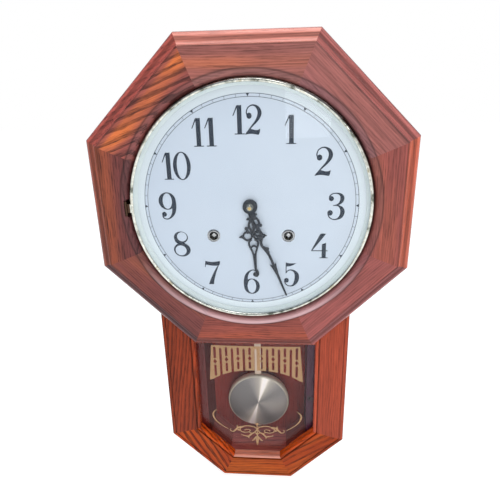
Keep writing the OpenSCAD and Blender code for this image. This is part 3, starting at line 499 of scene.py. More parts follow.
def dial_enamel():
    m = Mat("dial_enamel_plate")
    v = m.coords()
    p = m.bsdf((0.5, 0.56, 0.65), 0.42)
    x, y, z = m.split(v)
    rad = m.math('SQRT', m.math('ADD', m.math('MULTIPLY', x, x), m.math('MULTIPLY', z, z)))
    cloud = m.noise(m.scaled(v, (9, 9, 9)), 1.0, 3.0, 0.6)
    fine = m.noise(m.scaled(v, (500, 500, 500)), 1.0, 2.0, 0.5)
    face = m.mix(cloud, (0.488, 0.548, 0.646), (0.548, 0.602, 0.690))
    # painted light: the face is darker towards the left and lighter towards the right
    side = m.math('MULTIPLY_ADD', x, 2.4, 0.5, clamp=True)
    face = m.mix(1.0, face, m.mix(side, (0.95, 0.965, 0.98), (1.05, 1.045, 1.03)), 'MULTIPLY')
    # painted shade and light: the band outside the track is darker at the top and lighter at the bottom
    foot = m.math('MULTIPLY_ADD', z, -2.6, 0.5, clamp=True)
    out = m.mix(foot, (0.56, 0.615, 0.665), (0.72, 0.79, 0.845))
    m.link(m.mix(m.grey(m.math('MULTIPLY', m.math('SUBTRACT', rad, 0.135), 100.0, clamp=True), [(0.45, 0.0), (0.60, 1.0)]), face, out), p.inputs["Base Color"])
    m.link(m.math('MULTIPLY_ADD', cloud, 0.10, 0.36), p.inputs["Roughness"])
    m.link(m.bump(fine, 0.02, 0.0001), p.inputs["Normal"])
    p.inputs["Coat Weight"].default_value = 0.05
    return m.m


put("dial_plate", dial_enamel())
for n in ("dial_pan", "hanger_plate"):
    put(n, M_ZINC)
for n in ("door_catch_magnet", "door_catch_strike"):
    put(n, M_DARK)
for n in ("movement_front_plate", "movement_back_plate", "time_barrel", "strike_barrel", "second_wheel", "centre_wheel",
          "third_wheel", "escape_wheel", "minute_wheel", "hour_wheel", "strike_second_wheel", "strike_pin_wheel",
          "strike_warning_wheel", "strike_fly", "pendulum_cock"):
    put(n, M_BRASS)
for n in ("movement_pillars", "time_winding_arbor", "strike_winding_arbor", "winding_clicks", "anchor_and_crutch",
          "strike_hammer", "suspension_spring"):
    put(n, M_STEEL)
for n in ("door_hinge_case_leaves", "door_hinge_door_leaves"):
    put(n, M_DULLBRASS)
put("pendulum_rod", M_ROD)
put("hand_nut", M_NUT)
put("gong", M_GONG)


# ------------------------------------------------------------------ mesh helpers
COL = bpy.context.scene.collection


def new_obj(name, mesh, mat):
    o = bpy.data.objects.new(name, mesh)
    COL.objects.link(o)
    if mat is not None:
        mesh.materials.append(mat)
    return o


def block2d(bm, poly, f0, f1):
    a = [bm.verts.new((x * MM, -f1 * MM, z * MM)) for x, z in poly]
    b = [bm.verts.new((x * MM, -f0 * MM, z * MM)) for x, z in poly]
    n = len(poly)
    bm.faces.new(a)
    bm.faces.new(b[::-1])
    for i in range(n):
        bm.faces.new((a[(i + 1) % n], a[i], b[i], b[(i + 1) % n]))


def prism(poly, f0, f1, name="p"):
    """Closed plate with the 2-D outline poly (mm, seen from the front) between depths f0 and f1 (mm)."""
    area = sum(poly[i][0] * poly[(i + 1) % len(poly)][1] - poly[(i + 1) % len(poly)][0] * poly[i][1] for i in range(len(poly)))
    if area < 0:
        poly = poly[::-1]
    bm = bmesh.new()
    block2d(bm, poly, f0, f1)
    bmesh.ops.recalc_face_normals(bm, faces=bm.faces)
    me = bpy.data.meshes.new(name)
    bm.to_mesh(me)
    bm.free()
    return bpy.data.objects.new(name, me)


def boolean(a, b, op):
    mod = a.modifiers.new("b", 'BOOLEAN')
    mod.operation = op
    mod.object = b
    mod.solver = 'MANIFOLD'
    dg = bpy.context.evaluated_depsgraph_get()
    dg.update()
    me = bpy.data.meshes.new_from_object(a.evaluated_get(dg))
    a.modifiers.clear()
    old = a.data
    a.data = me
    bpy.data.meshes.remove(old)


def plate(name, add, sub, f0, f1, mat, eps=0.5, late=()):
    """Union of the outlines in add less those in sub, plus those in late, as one thin plate."""
    base = prism(add[0], f0, f1, name)
    COL.objects.link(base)
    for polys, op in ((add[1:], 'UNION'), (sub, 'DIFFERENCE'), (late, 'UNION')):
        for poly in polys:
            o = prism(poly, f0 - (eps if op == 'DIFFERENCE' else 0), f1 + (eps if op == 'DIFFERENCE' else 0))
            COL.objects.link(o)
            boolean(base, o, op)
            bpy.data.objects.remove(o)
    base.name = name
    base.data.materials.clear()
    base.data.materials.append(mat)
    return base


def join(objs):
    bm = bmesh.new()
    for o in objs:
        bm.from_mesh(o.data)
    bm.to_mesh(objs[0].data)
    bm.free()
    for o in objs[1:]:
        bpy.data.objects.remove(o)
    return objs[0]


def ellipse(cx, cy, rx, ry, n=40, rot=0.0):
    c, s = math.cos(math.radians(rot)), math.sin(math.radians(rot))
    out = []
    for i in range(n):
        t = 2 * math.pi * i / n
        x, y = rx * math.cos(t), ry * math.sin(t)
        out.append((cx + x * c - y * s, cy + x * s + y * c))
    return out


def spline(pts, per=8):
    """Catmull-Rom through the points; every component is interpolated."""
    p = [tuple(2 * a - b for a, b in zip(pts[0], pts[1]))] + list(pts) + [tuple(2 * a - b for a, b in zip(pts[-1], pts[-2]))]
    out = []
    for i in range(1, len(p) - 2):
        for k in range(per):
            t = k / per
            out.append(tuple(0.5 * ((2 * b) + (-a + c) * t + (2 * a - 5 * b + 4 * c - d) * t * t + (-a + 3 * b - 3 * c + d) * t ** 3)
                             for a, b, c, d in zip(p[i - 1], p[i], p[i + 1], p[i + 2])))
    out.append(tuple(pts[-1]))
    return out


def stroke(pts, per=8, grow=0.0):
    """Outline of a pen stroke through (x, y, width) points."""
    s = spline(pts, per)
    left, right = [], []
    for i, q in enumerate(s):
        a = s[max(0, i - 1)]
        b = s[min(len(s) - 1, i + 1)]
        dx, dy = b[0] - a[0], b[1] - a[1]
        d = math.hypot(dx, dy) or 1
        nx, ny = -dy / d, dx / d
        w = (max(q[2], 0.12) + grow) / 2
        left.append((q[0] + nx * w, q[1] + ny * w))
        right.append((q[0] - nx * w, q[1] - ny * w))
    return left + right[::-1]


def turned(poly, deg):
    c, s = math.cos(math.radians(deg)), math.sin(math.radians(deg))
    return [(x * c - y * s, x * s + y * c) for x, y in poly]


def flipped(poly):
    return [(-x, y) for x, y in poly]


# ------------------------------------------------------------------ numerals, drawn 36 units tall
def glyph(ch):
    if ch == '1':
        add = [[(-2.85, 0.5), (2.9, 0.5), (2.9, 35.6), (1.2, 35.2), (-2.85, 35.4)],
               [(-6.4, 0), (6.2, 0), (6.2, 1.2), (-6.4, 1.2)],
               stroke([(-2.4, 34.4, 2.2), (-4.0, 31.4, 1.6), (-6.2, 26.6, 1.3), (-8.0, 22.6, 1.1)], 4)]
        return add, []
    if ch == '0':
        return [ellipse(0, 18, 11.4, 18.2, 64)], [ellipse(0, 18, 6.5, 17.0, 56)]
    if ch == '2':
        add = [ellipse(-5.4, 22.8, 3.5, 3.7, 28),
               stroke([(-8.1, 23.4, 1.3), (-8.9, 26.6, 1.5), (-7.2, 31.8, 1.4), (-2.6, 34.9, 1.5), (2.4, 34.8, 2.2), (7.0, 31.4, 4.3),
                       (8.8, 26.6, 5.4), (7.8, 22.0, 4.9), (4.4, 16.6, 3.4), (-1.6, 10.4, 2.1), (-6.2, 5.4, 1.6), (-10.2, 1.2, 1.2)], 8),
               spline([(-11.5, 0.0), (-8.4, 3.8), (-5.2, 6.9), (-1.6, 6.6), (2.2, 5.7), (5.8, 5.6), (9.4, 7.0)], 4)
               + spline([(8.8, 3.4), (7.4, 0.0), (3.6, 0.2), (-1.0, 0.9), (-5.8, 0.9), (-11.2, -0.1)], 4)[:-1]]
        return add, []
    if ch == '3':
        add = [ellipse(-6.4, 28.6, 3.2, 3.4, 26), ellipse(-7.4, 9.7, 3.5, 3.6, 26),
               stroke([(-8.8, 28.4, 1.3), (-8.4, 31.8, 1.5), (-5.0, 34.9, 1.4), (0.2, 35.6, 1.6), (5.0, 34.0, 3.2), (7.4, 30.2, 5.0),
                       (6.8, 25.4, 4.6), (3.6, 21.6, 2.5), (-0.4, 19.9, 1.5), (-3.8, 19.4, 1.2)], 8),
               stroke([(-1.2, 19.9, 1.3), (3.4, 18.8, 2.1), (7.0, 15.6, 4.6), (8.4, 10.6, 5.7), (6.5, 4.8, 4.6), (1.8, 1.4, 2.1),
                       (-3.4, 0.9, 1.4), (-8.0, 3.6, 1.5), (-10.2, 8.4, 1.4)], 8)]
        return add, []
    if ch == '4':
        add = [[(0.4, 34.6), (3.8, 35.4), (8.2, 34.8), (-9.6, 11.4), (-11.6, 10.2), (-11.2, 11.8)],
               [(-11.2, 10.1), (11.0, 10.1), (11.0, 11.4), (-11.2, 11.4)],
               [(3.0, 0.5), (8.6, 0.5), (8.6, 22.2), (5.6, 21.1), (3.0, 20.0)],
               [(0.2, 0), (11.4, 0), (11.4, 1.2), (0.2, 1.2)]]
        return add, []
    if ch == '5':
        add = [spline([(-8.0, 36.4), (-3.2, 35.2), (2.0, 35.0), (7.0, 35.5)], 4) + spline([(3.6, 33.0), (-1.8, 30.8), (-8.0, 30.2)], 4),
               [(-8.1, 33), (-6.8, 33), (-6.9, 20.4), (-8.2, 20.0)],
               ellipse(-7.0, 9.5, 3.3, 3.5, 26),
               stroke([(-7.8, 20.4, 1.2), (-5.0, 24.0, 1.4), (-0.8, 25.1, 1.7), (4.0, 23.0, 3.4), (7.1, 18.4, 5.6), (7.5, 12.6, 6.2),
                       (5.6, 6.0, 4.8), (1.6, 1.6, 2.3), (-3.4, 0.9, 1.4), (-7.8, 3.6, 1.5), (-9.8, 8.2, 1.4)], 8)]
        return add, []
    if ch in '69':
        add = [ellipse(0, 11.6, 11.3, 11.6, 48),
               stroke([(5.0, 28.6, 3.0), (7.2, 31.6, 1.9), (5.8, 34.8, 1.5), (1.6, 35.9, 1.5), (-3.2, 33.6, 2.4), (-7.0, 28.2, 4.3), (-8.7, 20.8, 5.4),
                       (-8.8, 13.0, 5.4), (-6.8, 5.4, 4.4), (-3.4, 1.6, 2.6)], 8),
               ellipse(5.2, 29.4, 3.2, 3.3, 26)]
        sub = [ellipse(-0.1, 11.7, 6.1, 10.3, 44)]
        if ch == '9':
            add = [[(-x, 36 - y) for x, y in p] for p in add]
            sub = [[(-x, 36 - y) for x, y in p] for p in sub]
        return add, sub
    if ch == '7':
        add = [spline([(-10.4, 35.6), (-6.0, 34.6), (-1.0, 34.0), (4.6, 34.6), (10.8, 35.6)], 4)
               + spline([(10.2, 31.0), (8.6, 29.0), (2.6, 28.4), (-3.4, 28.8), (-9.8, 30.2)], 4),
               stroke([(-9.8, 33.8, 1.4), (-10.2, 30.0, 1.2), (-10.8, 26.4, 1.0)], 4),
               spline([(10.8, 34.6), (7.6, 26.4), (4.2, 17.0), (1.6, 8.0), (0.4, 0.2)], 6)
               + spline([(-6.9, 0.2), (-4.4, 6.6), (-1.0, 14.2), (3.2, 22.4), (8.2, 30.6)], 6)]
        return add, []
    if ch == '8':
        add = [ellipse(-0.6, 27.6, 9.6, 8.5, 44), ellipse(0.0, 9.8, 11.4, 9.9, 48),
               stroke([(-8.2, 26.6, 3.6), (-6.0, 22.4, 5.2), (0.0, 18.4, 6.0), (6.4, 14.4, 5.4), (8.8, 9.6, 3.8)], 8)]
        sub = [ellipse(0.9, 28.5, 6.7, 6.5, 40, -24), ellipse(-1.7, 8.9, 7.6, 7.2, 44, -18)]
        return add, sub
    return [], []


def placed(ch, cx, cz, w, h):
    """A glyph fitted to a box w x h with its centre at (cx, cz); a 1 is placed by its bar."""
    add, sub = glyph(ch)
    xs = [x for p in add for x, y in p]
    ys = [y for p in add for x, y in p]
    mx, my = (min(xs) + max(xs)) / 2, (min(ys) + max(ys)) / 2
    kx, ky = w / (max(xs) - min(xs)), h / (max(ys) - min(ys))
    if ch == '1':
        mx, kx = 0.02, ky
    f = lambda polys: [[(cx + (x - mx) * kx, cz + (y - my) * ky) for x, y in p] for p in polys]
    return f(add), f(sub)


NUMERALS = {
    12: [('1', -10.7, 108.8, 0, 35.0), ('2', 6.2, 108.6, 21.0, 36.0)],
    1: [('1', 53.0, 96.3, 0, 35.0)],
    2: [('2', 93.3, 56.9, 22.4, 36.4)],
    3: [('3', 111.1, -1.1, 22.2, 36.4)],
    4: [('4', 91.4, -55.2, 22.4, 35.2)],
    5: [('5', 54.5, -97.1, 20.7, 36.0)],
    6: [('6', -0.5, -108.5, 22.4, 37.0)],
    7: [('7', -54.1, -95.2, 21.6, 35.0)],
    8: [('8', -94.7, -53.3, 23.0, 36.2)],
    9: [('9', -109.5, 0.2, 23.4, 37.2)],
    10: [('1', -104.0, 53.0, 0, 35.0), ('0', -86.5, 53.0, 22.9, 36.2)],
    11: [('1', -62.5, 94.6, 0, 35.0), ('1', -46.4, 94.6, 0, 35.0)],
}


def dial_numerals():
    f0, f1 = 105.30, 105.36
    for h, items in NUMERALS.items():
        parts = []
        for ch, cx, cz, w, hh in items:
            add, sub = placed(ch, cx, cz, w, hh)
            parts.append(plate("tmp", add, sub, f0, f1, M_INK))
        if len(parts) == 2:
            join(parts)
        parts[0].name = "numeral_%02d" % h
        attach(parts[0], "case")


def annulus(bm, r0, r1, f0, f1, n=240):
    rings = []
    for r, f in ((r0, f1), (r1, f1), (r1, f0), (r0, f0)):
        rings.append([bm.verts.new((r * math.sin(2 * math.pi * i / n) * MM, -f * MM, r * math.cos(2 * math.pi * i / n) * MM)) for i in range(n)])
    for k in range(4):
        a, b = rings[k], rings[(k + 1) % 4]
        for i in range(n):
            j = (i + 1) % n
            bm.faces.new((a[i], a[j], b[j], b[i]))


def finish_mesh(bm, name, mat, smooth=None):
    bmesh.ops.recalc_face_normals(bm, faces=bm.faces)
    me = bpy.data.meshes.new(name)
    bm.to_mesh(me)
    bm.free()
    if smooth is not None:
        for p in me.polygons:
            p.use_smooth = True
        me.set_sharp_from_angle(angle=math.radians(smooth))
    return new_obj(name, me, mat)


def dial_track():
    f0, f1 = 105.30, 105.34
    bm = bmesh.new()
    annulus(bm, 135.45, 136.1, f0, f1)
    annulus(bm, 139.35, 140.05, f0, f1)
    for i in range(60):
        a = math.radians(i * 6)
        s, c = math.sin(a), math.cos(a)
        if i % 5:
            w = 0.24
            block2d(bm, [(r * s + t * c, r * c - t * s) for r, t in ((136.1, -w), (136.1, w), (139.35, w), (139.35, -w))], f0, f1)
    o = finish_mesh(bm, "minute_track", M_INK_THIN)
    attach(o, "case")
    bm = bmesh.new()
    for i in range(0, 60, 5):
        a = math.radians(i * 6)
        s, c = math.sin(a), math.cos(a)
        block2d(bm, [(r * s + t * c, r * c - t * s) for r, t in ((135.8, 0), (139.7, 2.1), (139.7, -2.1))], f0, f1 + 0.02)
    o = finish_mesh(bm, "five_minute_marks", M_INK)
    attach(o, "case")


# ------------------------------------------------------------------ hands
def hands():
    # hour hand, drawn pointing up
    add = [ellipse(0, 0, 9.6, 9.6, 48),
           stroke([(0, 7, 9.0), (0, 11, 6.4), (0, 16, 5.2), (0, 21, 6.0)], 5),
           [(-2, 14.2), (-6.2, 16.0), (-6.6, 17.8), (-2, 18.8)], [(2, 14.2), (6.2, 16.0), (6.6, 17.8), (2, 18.8)]]
    for s in (-1, 1):
        add += [stroke([(s * 1.2, 19, 3.6), (s * 3.8, 24, 3.0), (s * 3.6, 28.4, 2.8), (s * 1.6, 32.6, 3.0), (s * 0.6, 36.8, 2.8)], 6),
                ellipse(s * 7.0, 40.2, 7.0, 7.0, 40),
                [(s * 12.6, 37.8), (s * 15.8, 38.9), (s * 19.0, 41.2), (s * 15.4, 42.5), (s * 12.6, 43.8)],
                stroke([(s * 6.4, 36.0, 3.0), (s * 6.6, 33.0, 3.2), (s * 7.4, 30.2, 3.0)], 5),
                ellipse(s * 7.6, 29.8, 2.5, 2.5, 24),
                stroke([(s * 2.2, 45.0, 2.6), (s * 5.6, 48.6, 2.5), (s * 5.9, 53.4, 2.5), (s * 3.9, 58.8, 2.5), (s * 2.1, 64.0, 2.5), (s * 0.9, 70, 2.5)], 8)]
    add += [stroke([(0, 66, 5.2), (0.1, 78, 4.0), (0.2, 88, 3.2), (-0.6, 92.2, 2.8)], 5),
            stroke([(0.1, 88, 2.8), (-2.2, 92.4, 2.2), (-2.6, 95.6, 2.2), (-0.6, 98.6, 2.2), (1.2, 98.4, 2.0)], 7),
            ellipse(0.9, 96.2, 3.0, 3.0, 26),
            stroke([(-4.2, 57.2, 2.0), (-1.6, 54.9, 2.2), (0, 54.2, 2.3), (1.6, 54.9, 2.2), (4.2, 57.2, 2.0)], 5)]
    sub = [ellipse(s * 7.0, 40.2, 4.4, 4.4, 36) for s in (-1, 1)] + [ellipse(0, 0, 5.06, 5.06, 40)]
    keep = [stroke([(s * 6.5, 36.8, 2.6), (s * 6.5, 34.6, 2.8)], 4) for s in (-1, 1)]
    turn = lambda polys: [turned(p, -176.0) for p in polys]
    hour = plate("hour_hand_pierced", turn(add), turn(sub), 108.0, 109.2, M_BLACK, late=turn(keep))
    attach(hour, "hour")
    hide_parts("hour_hand")
    # minute hand, drawn pointing up
    add = [ellipse(0, 0, 9.4, 9.4, 48),
           stroke([(0, 7, 8.0), (0, 11, 5.2), (0, 14.5, 4.4)], 4),
           [(-1.5, 9.2), (-4.8, 10.8), (-5.2, 12.6), (-1.5, 14.0)], [(1.5, 9.2), (4.8, 10.8), (5.2, 12.6), (1.5, 14.0)],
           stroke([(0, 14, 3.6), (-2.6, 17.6, 3.0), (-3.4, 22, 2.8), (-2.4, 26.6, 3.0), (0.4, 29.4, 3.2)], 7),
           stroke([(0, 14, 3.6), (3.6, 17.6, 3.0), (5.4, 22, 2.8), (4.6, 26.6, 3.0), (1.6, 29.4, 3.2)], 7),
           stroke([(-3.4, 26.4, 2.2), (1.0, 25.8, 2.4), (5.4, 26.4, 2.2)], 5),
           ellipse(-3.8, 27.8, 2.2, 2.2, 20), ellipse(5.9, 27.8, 2.2, 2.2, 20),
           stroke([(1.0, 28.6, 4.4), (0.4, 33, 3.2), (-0.4, 37.6, 3.0), (0.4, 42.2, 3.6), (2.6, 46.0, 4.2), (4.7, 50.2, 3.8), (5.2, 55.0, 3.4),
                   (3.8, 60.0, 3.6), (2.0, 65.4, 3.8), (1.0, 72.0, 3.4), (0.7, 79.0, 3.2), (0.7, 86.0, 3.4)], 8),
           ellipse(3.8, 37.4, 4.6, 4.6, 32),
           ellipse(4.6, 43.6, 3.1, 3.1, 24),
           [(-0.4, 39.0), (-3.8, 43.2), (-3.2, 45.0), (1.4, 46.2)],
           [(2.6, 57.2), (-1.6, 60.2), (-2.6, 62.4), (-0.4, 63.8), (-1.5, 66.8), (1.4, 70.6), (3.4, 64)],
           [(-3.4, 84.0), (0.6, 87.6), (5.4, 83.8), (3.7, 92.0), (2.4, 101.0), (-0.9, 101.0), (-1.9, 92)],
           stroke([(0.7, 84, 3.2), (0.7, 100, 3.3), (0.7, 118, 2.7), (0.6, 134.6, 2.3)], 5)]
    sub = [ellipse(3.8, 37.4, 2.1, 2.1, 26), ellipse(0, 0, 1.92, 1.92, 24)]
    turn = lambda polys: [turned(p, -159.0) for p in polys]
    minute = plate("minute_hand_pierced", turn(add), turn(sub), 110.6, 111.8, M_BLACK)
    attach(minute, "minute")
    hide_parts("minute_hand")


dial_numerals()
dial_track()
hands()


# ------------------------------------------------------------------ bob
def revolve(name, prof, centre, mat, n=144):
    """Closed profile of (radius, depth) in mm turned about the depth axis through centre (x, z)."""
    bm = bmesh.new()
    rings = []
    for r, f in prof:
        if r < 1e-6:
            rings.append([bm.verts.new((centre[0] * MM, -f * MM, centre[1] * MM))])
        else:
            rings.append([bm.verts.new(((centre[0] + r * math.sin(2 * math.pi * i / n)) * MM, -f * MM, (centre[1] + r * math.cos(2 * math.pi * i / n)) * MM)) for i in range(n)])
    m = len(rings)
    for k in range(m):
        a, b = rings[k], rings[(k + 1) % m]
        if len(a) == 1 and len(b) == 1:
            continue
        for i in range(n):
            j = (i + 1) % n
            if len(a) == 1:
                bm.faces.new((a[0], b[j], b[i]))
            elif len(b) == 1:
                bm.faces.new((a[i], a[j], b[0]))
            else:
                bm.faces.new((a[i], a[j], b[j], b[i]))
    return finish_mesh(bm, name, mat, 32)


def bob_material():
    m = Mat("bob_spun_metal")
    v = m.coords(loc=(0, 0, -BOB_Z * MM))
    p = m.bsdf((0.62, 0.60, 0.55), 0.30, 0.38)
    x, y, z = m.split(v)
    rad = m.math('SQRT', m.math('ADD', m.math('MULTIPLY', x, x), m.math('MULTIPLY', z, z)))
    comb = m.n("ShaderNodeCombineXYZ")
    m.link(rad, comb.inputs[0])
    lathe = m.noise(m.scaled(comb.outputs[0], (4200, 1, 1)), 1.0, 3.0, 0.7)
    big = m.noise(m.scaled(v, (30, 30, 30)), 1.0, 3.0, 0.6)
    # painted sheen: a narrow bright streak, broad light sectors and a lighter right side painted about the centre of
    # the turned face, standing in for its reflection
    ang = m.math('ARCTAN2', z, x)
    c1 = m.math('ABSOLUTE', m.math('COSINE', m.math('SUBTRACT', ang, math.radians(75))))
    sharp = m.math('POWER', c1, 150.0)
    broad = m.math('POWER', c1, 11.0)
    c2 = m.math('ABSOLUTE', m.math('COSINE', m.math('SUBTRACT', ang, math.radians(-12))))
    side = m.math('POWER', c2, 5.0)
    painted_sheen = m.math('MULTIPLY_ADD', sharp, 0.55, m.math('MULTIPLY_ADD', broad, 0.52, m.math('MULTIPLY', m.math('MULTIPLY', side, m.math('GREATER_THAN', x, 0.0)), 0.22)))
    painted_sheen = m.math('MULTIPLY_ADD', m.math('SUBTRACT', lathe, 0.5), 0.14, painted_sheen, clamp=True)
    face = m.ramp(painted_sheen, [(0.0, (0.175, 0.175, 0.165)), (0.12, (0.27, 0.265, 0.245)), (0.42, (0.46, 0.44, 0.37)), (0.80, (1.0, 0.97, 0.84)), (1.0, (1.0, 0.99, 0.92))])
    rim = m.grey(m.math('MULTIPLY', rad, 18.0, clamp=True), [(0.882, 0.0), (0.896, 1.0)])
    m.link(m.mix(rim, face, (0.80, 0.76, 0.60)), p.inputs["Base Color"])
    rr = m.math('MULTIPLY_ADD', m.math('SUBTRACT', lathe, 0.5), 0.14, m.math('MULTIPLY_ADD', big, 0.05, 0.30))
    m.link(m.math('MULTIPLY_ADD', rim, -0.18, rr), p.inputs["Roughness"])
    m.link(m.bump(lathe, 0.10, 0.00006), p.inputs["Normal"])
    p.inputs["Anisotropic"].default_value = 0.6
    tan = m.n("ShaderNodeTangent", direction_type='RADIAL', axis='Y')
    m.link(tan.outputs[0], p.inputs["Tangent"])
    return m.m


def bob():
    R = 52.5
    prof = [(0, 38.8), (8, 38.72), (20, 38.35), (30, 37.85), (36, 37.4), (43, 36.5), (47.5, 35.9), (49.2, 35.5), (50.4, 34.9), (51.5, 33.9), (52.2, 32.5),
            (R, 31.0), (R, 25.6), (52.2, 24.4), (51.6, 23.4), (50.6, 22.5), (49.2, 21.8), (36, 20.5), (20, 19.9), (0, 19.7)]
    b = revolve("bob_disc", prof, (0, BOB_Z), bob_material())
    slot = prism([(-5.35, BOB_Z - 20.2), (5.35, BOB_Z - 20.2), (5.35, BOB_Z + 58), (-5.35, BOB_Z + 58)], 29.0, 31.0)
    COL.objects.link(slot)
    boolean(b, slot, 'DIFFERENCE')
    bpy.data.objects.remove(slot)
    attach(b, "pendulum")
    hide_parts("pendulum_bob_and_nut")
    # knurled rating nut
    bm = bmesh.new()
    n = 72
    prof = [(1.4, 0), (3.8, 0), (4.0, 0.45), (4.0, 3.75), (3.7, 4.1), (2.4, 4.2), (2.2, 4.4), (1.4, 4.4)]
    rings = []
    for r, h in prof:
        ring = []
        for i in range(n):
            rr = r + (0.16 if (r > 3.9 and i % 2) else 0)
            t = 2 * math.pi * i / n
            ring.append(bm.verts.new((rr * math.cos(t) * MM, (-30 + rr * math.sin(t)) * MM, (BOB_Z - R - 5 + h) * MM)))
        rings.append(ring)
    for k in range(len(rings)):
        a, b2 = rings[k], rings[(k + 1) % len(rings)]
        for i in range(n):
            j = (i + 1) % n
            bm.faces.new((a[i], a[j], b2[j], b2[i]))
    nut = finish_mesh(bm, "rating_nut", M_CREAM)
    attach(nut, "pendulum")


bob()


# ------------------------------------------------------------------ gilt ornament behind the door glass
def gilt():
    m = Mat("gilt_print")
    v = m.coords()
    p = m.bsdf((0.60, 0.34, 0.12), 0.42, 0.25)
    big = m.noise(m.scaled(v, (60, 60, 60)), 1.0, 4.0, 0.6)
    m.link(m.mix(big, (0.37, 0.215, 0.088), (0.47, 0.285, 0.125)), p.inputs["Base Color"])
    m.link(m.math('MULTIPLY_ADD', big, 0.14, 0.40), p.inputs["Roughness"])
    return m.m


def ornament():
    gold = gilt()
    f0, f1 = 76.34, 76.39
    # arched band: plain reeds between a top rail and an arched foot rail
    foot = lambda x: -275.0 - 20.0 * (abs(x) / 72.0) ** 2.6
    top = lambda x: -231.0 + 0.9 * (abs(x) / 72.0) ** 2
    n = 48
    xs = [-69 + 138 * i / n for i in range(n + 1)]
    outer = [(x, top(x)) for x in xs] + [(74, -294.5)] + [(x, foot(x)) for x in xs[::-1]] + [(-74, -294.5)]
    sub = []
    cells = 15
    pitch = 137.0 / cells
    for i in range(cells):
        xc = -68.5 + pitch * (i + 0.5)
        a, b = top(xc) - 4.0, foot(xc) + 4.6
        mid = (a + b) / 2
        w = 1.9
        k = 3.0
        if i % 2:
            sub.append([(xc - w, a - 2.6), (xc, a), (xc + w, a - 2.6), (xc + w, b - 12.0), (xc - w, b - 12.0)])
        else:
            sub.append([(xc - w, a), (xc, a + 1.8), (xc + w, a), (xc + w, mid + 6.2), (xc - w, mid + 6.2)])
            sub.append([(xc, mid + 4.8), (xc + k, mid), (xc, mid - 4.8), (xc - k, mid)])
            sub.append([(xc - w, mid - 6.2), (xc + w, mid - 6.2), (xc + w, b), (xc, b - 1.8), (xc - w, b)])
    band = plate("gilt_band", [outer], sub, f0, f1, gold)
    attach(band, "door")
    # scroll at the foot
    half = [
        stroke([(0.0, -390.5, 1.5), (3.6, -386.6, 1.8), (9.0, -384.6, 2.2), (16.0, -384.0, 2.0), (23.5, -385.8, 1.8), (28.4, -390.4, 1.7), (27.0, -395.6, 1.6),
                (21.2, -397.6, 1.6), (14.6, -396.6, 1.5), (11.6, -393.8, 1.3), (14.0, -391.2, 1.4), (18.6, -391.6, 1.5), (21.4, -393.6, 1.8)], 8),
        stroke([(22.6, -386.2, 2.2), (27.2, -387.0, 3.8), (31.6, -388.4, 3.0), (36.6, -393.6, 3.0), (39.8, -396.6, 2.0), (43.8, -396.0, 1.5), (45.2, -392.8, 1.4), (43.4, -391.0, 1.3)], 7),
        [(30.4, -387.6), (33.6, -382.6), (34.6, -388.4)],
        [(29.6, -389.6), (29.8, -395.6), (34.0, -392.6)],
        stroke([(14.4, -396.8, 1.5), (8.8, -399.0, 1.8), (3.4, -395.6, 2.0), (0.0, -390.0, 1.8)], 7),
        stroke([(0.0, -401.5, 2.0), (4.0, -397.6, 2.2), (9.6, -400.6, 2.6), (14.4, -405.2, 3.0), (20.6, -405.0, 2.0), (27.2, -402.6, 1.0)], 7),
        [(12.6, -405.0), (14.2, -410.6), (18.0, -404.8)],
        stroke([(0.0, -404.0, 2.2), (3.4, -409.0, 3.0), (6.6, -413.2, 2.4), (9.2, -414.2, 1.0)], 6),
        stroke([(48.4, -391.3, 1.2), (56.2, -386.2, 1.4), (63.6, -380.0, 1.7), (69.6, -372.6, 2.4), (72.2, -365.0, 2.8), (71.4, -358.6, 2.2), (66.2, -352.9, 0.9)], 8)]
    mid = [ellipse(0, -379.6, 3.2, 1.9, 24), stroke([(0, -380.0, 1.6), (0, -390.0, 1.5), (0, -404, 2.4), (0, -414, 5.0), (0, -424.0, 0.8)], 6)]
    joined = mid + half[:-1] + [flipped(p) for p in half[:-1]]
    scroll = plate("gilt_scroll", joined, [], f0, f1, gold)
    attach(scroll, "door")
    for name, p in (("gilt_bracket_right", half[-1]), ("gilt_bracket_left", flipped(half[-1]))):
        b = plate(name, [p], [], f0, f1, gold)
        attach(b, "door")


ornament()


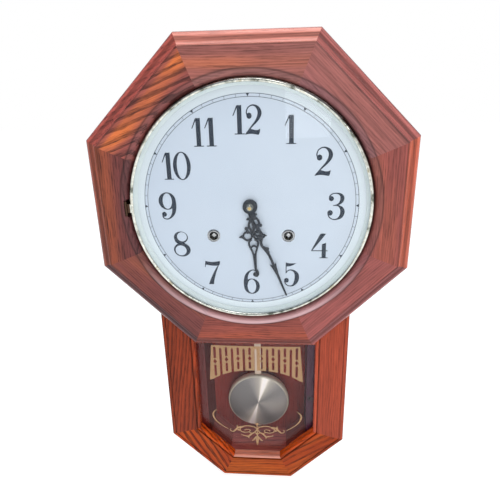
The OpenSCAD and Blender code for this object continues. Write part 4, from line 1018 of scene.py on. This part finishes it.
# ------------------------------------------------------------------ studio
def studio():
    me = bpy.data.meshes.new("floor")
    s = 6.0
    z = -0.486
    me.from_pydata([(-s, -s, z), (s, -s, z), (s, s, z), (-s, s, z)], [], [(0, 1, 2, 3)])
    fm = Mat("studio_floor")
    v = fm.coords()
    p = fm.bsdf((0.42, 0.42, 0.42), 0.9)
    nz = fm.noise(fm.scaled(v, (3, 3, 3)), 1.0, 2.0, 0.5)
    fm.link(fm.mix(nz, (0.40, 0.40, 0.40), (0.43, 0.43, 0.43)), p.inputs["Base Color"])
    p.inputs["Specular IOR Level"].default_value = 0.0
    p.inputs["Emission Color"].default_value = (1, 1, 1, 1)
    p.inputs["Emission Strength"].default_value = 0.84
    o = new_obj("floor", me, fm.m)
    w = bpy.data.worlds.new("studio")
    bpy.context.scene.world = w
    w.use_nodes = True
    w.node_tree.nodes.clear()
    wm = Mat("w", w.node_tree)
    out = wm.n("ShaderNodeOutputWorld")
    bg = wm.n("ShaderNodeBackground")
    tc = wm.n("ShaderNodeTexCoord")
    wx, wy, wz = wm.split(tc.outputs["Generated"])
    t = wm.math('MULTIPLY_ADD', wz, 0.5, 0.5)
    sky = wm.ramp(t, [(0.0, (0.9, 0.9, 0.9)), (0.46, (1.0, 1.0, 1.0)), (0.56, (0.95, 0.95, 0.95)), (0.64, (0.30, 0.32, 0.36)), (0.80, (0.17, 0.19, 0.23)),
                      (0.90, (0.45, 0.50, 0.58)), (1.0, (0.85, 0.88, 0.92))])
    lp = wm.n("ShaderNodeLightPath")
    sky = wm.mix(lp.outputs["Is Camera Ray"], sky, (1.0, 1.0, 1.0))
    wm.link(sky, bg.inputs[0])
    bg.inputs[1].default_value = 1.0
    wm.link(bg.outputs[0], out.inputs[0])

    def area(name, loc, target, size, power, color=(1, 1, 1), size_y=None, seen=True):
        l = bpy.data.lights.new(name, 'AREA')
        l.energy = power
        l.color = color
        l.shape = 'RECTANGLE'
        l.size = size
        l.size_y = size_y or size
        ob = bpy.data.objects.new(name, l)
        COL.objects.link(ob)
        ob.location = loc
        d = Vector(target) - Vector(loc)
        ob.rotation_euler = d.to_track_quat('-Z', 'Y').to_euler()
        ob.visible_glossy = seen

    area("key", (0.55, -1.75, 1.45), (0, -0.08, -0.1), 0.7, 10, (1.0, 0.985, 0.96), seen=False)
    area("softbox", (0.39, -2.06, 0.435), (0, -0.1, -0.1), 0.42, 2.4, (0.97, 0.985, 1.0), 0.60)
    area("fill", (0.39, -2.06, 0.435), (0, -0.1, -0.1), 0.5, 6.4, (0.97, 0.985, 1.0), 0.60, seen=False)
    area("low", (0.2, -1.9, -0.30), (0, -0.03, -0.36), 1.3, 8, (1.0, 0.97, 0.93), seen=False)
    area("top", (0.2, -0.2, 1.9), (0, -0.05, 0), 1.4, 28, (1, 1, 1))
    area("back", (0.3, 2.2, 1.8), (0, 0.6, -0.4), 2.0, 15, (1, 1, 1))


studio()
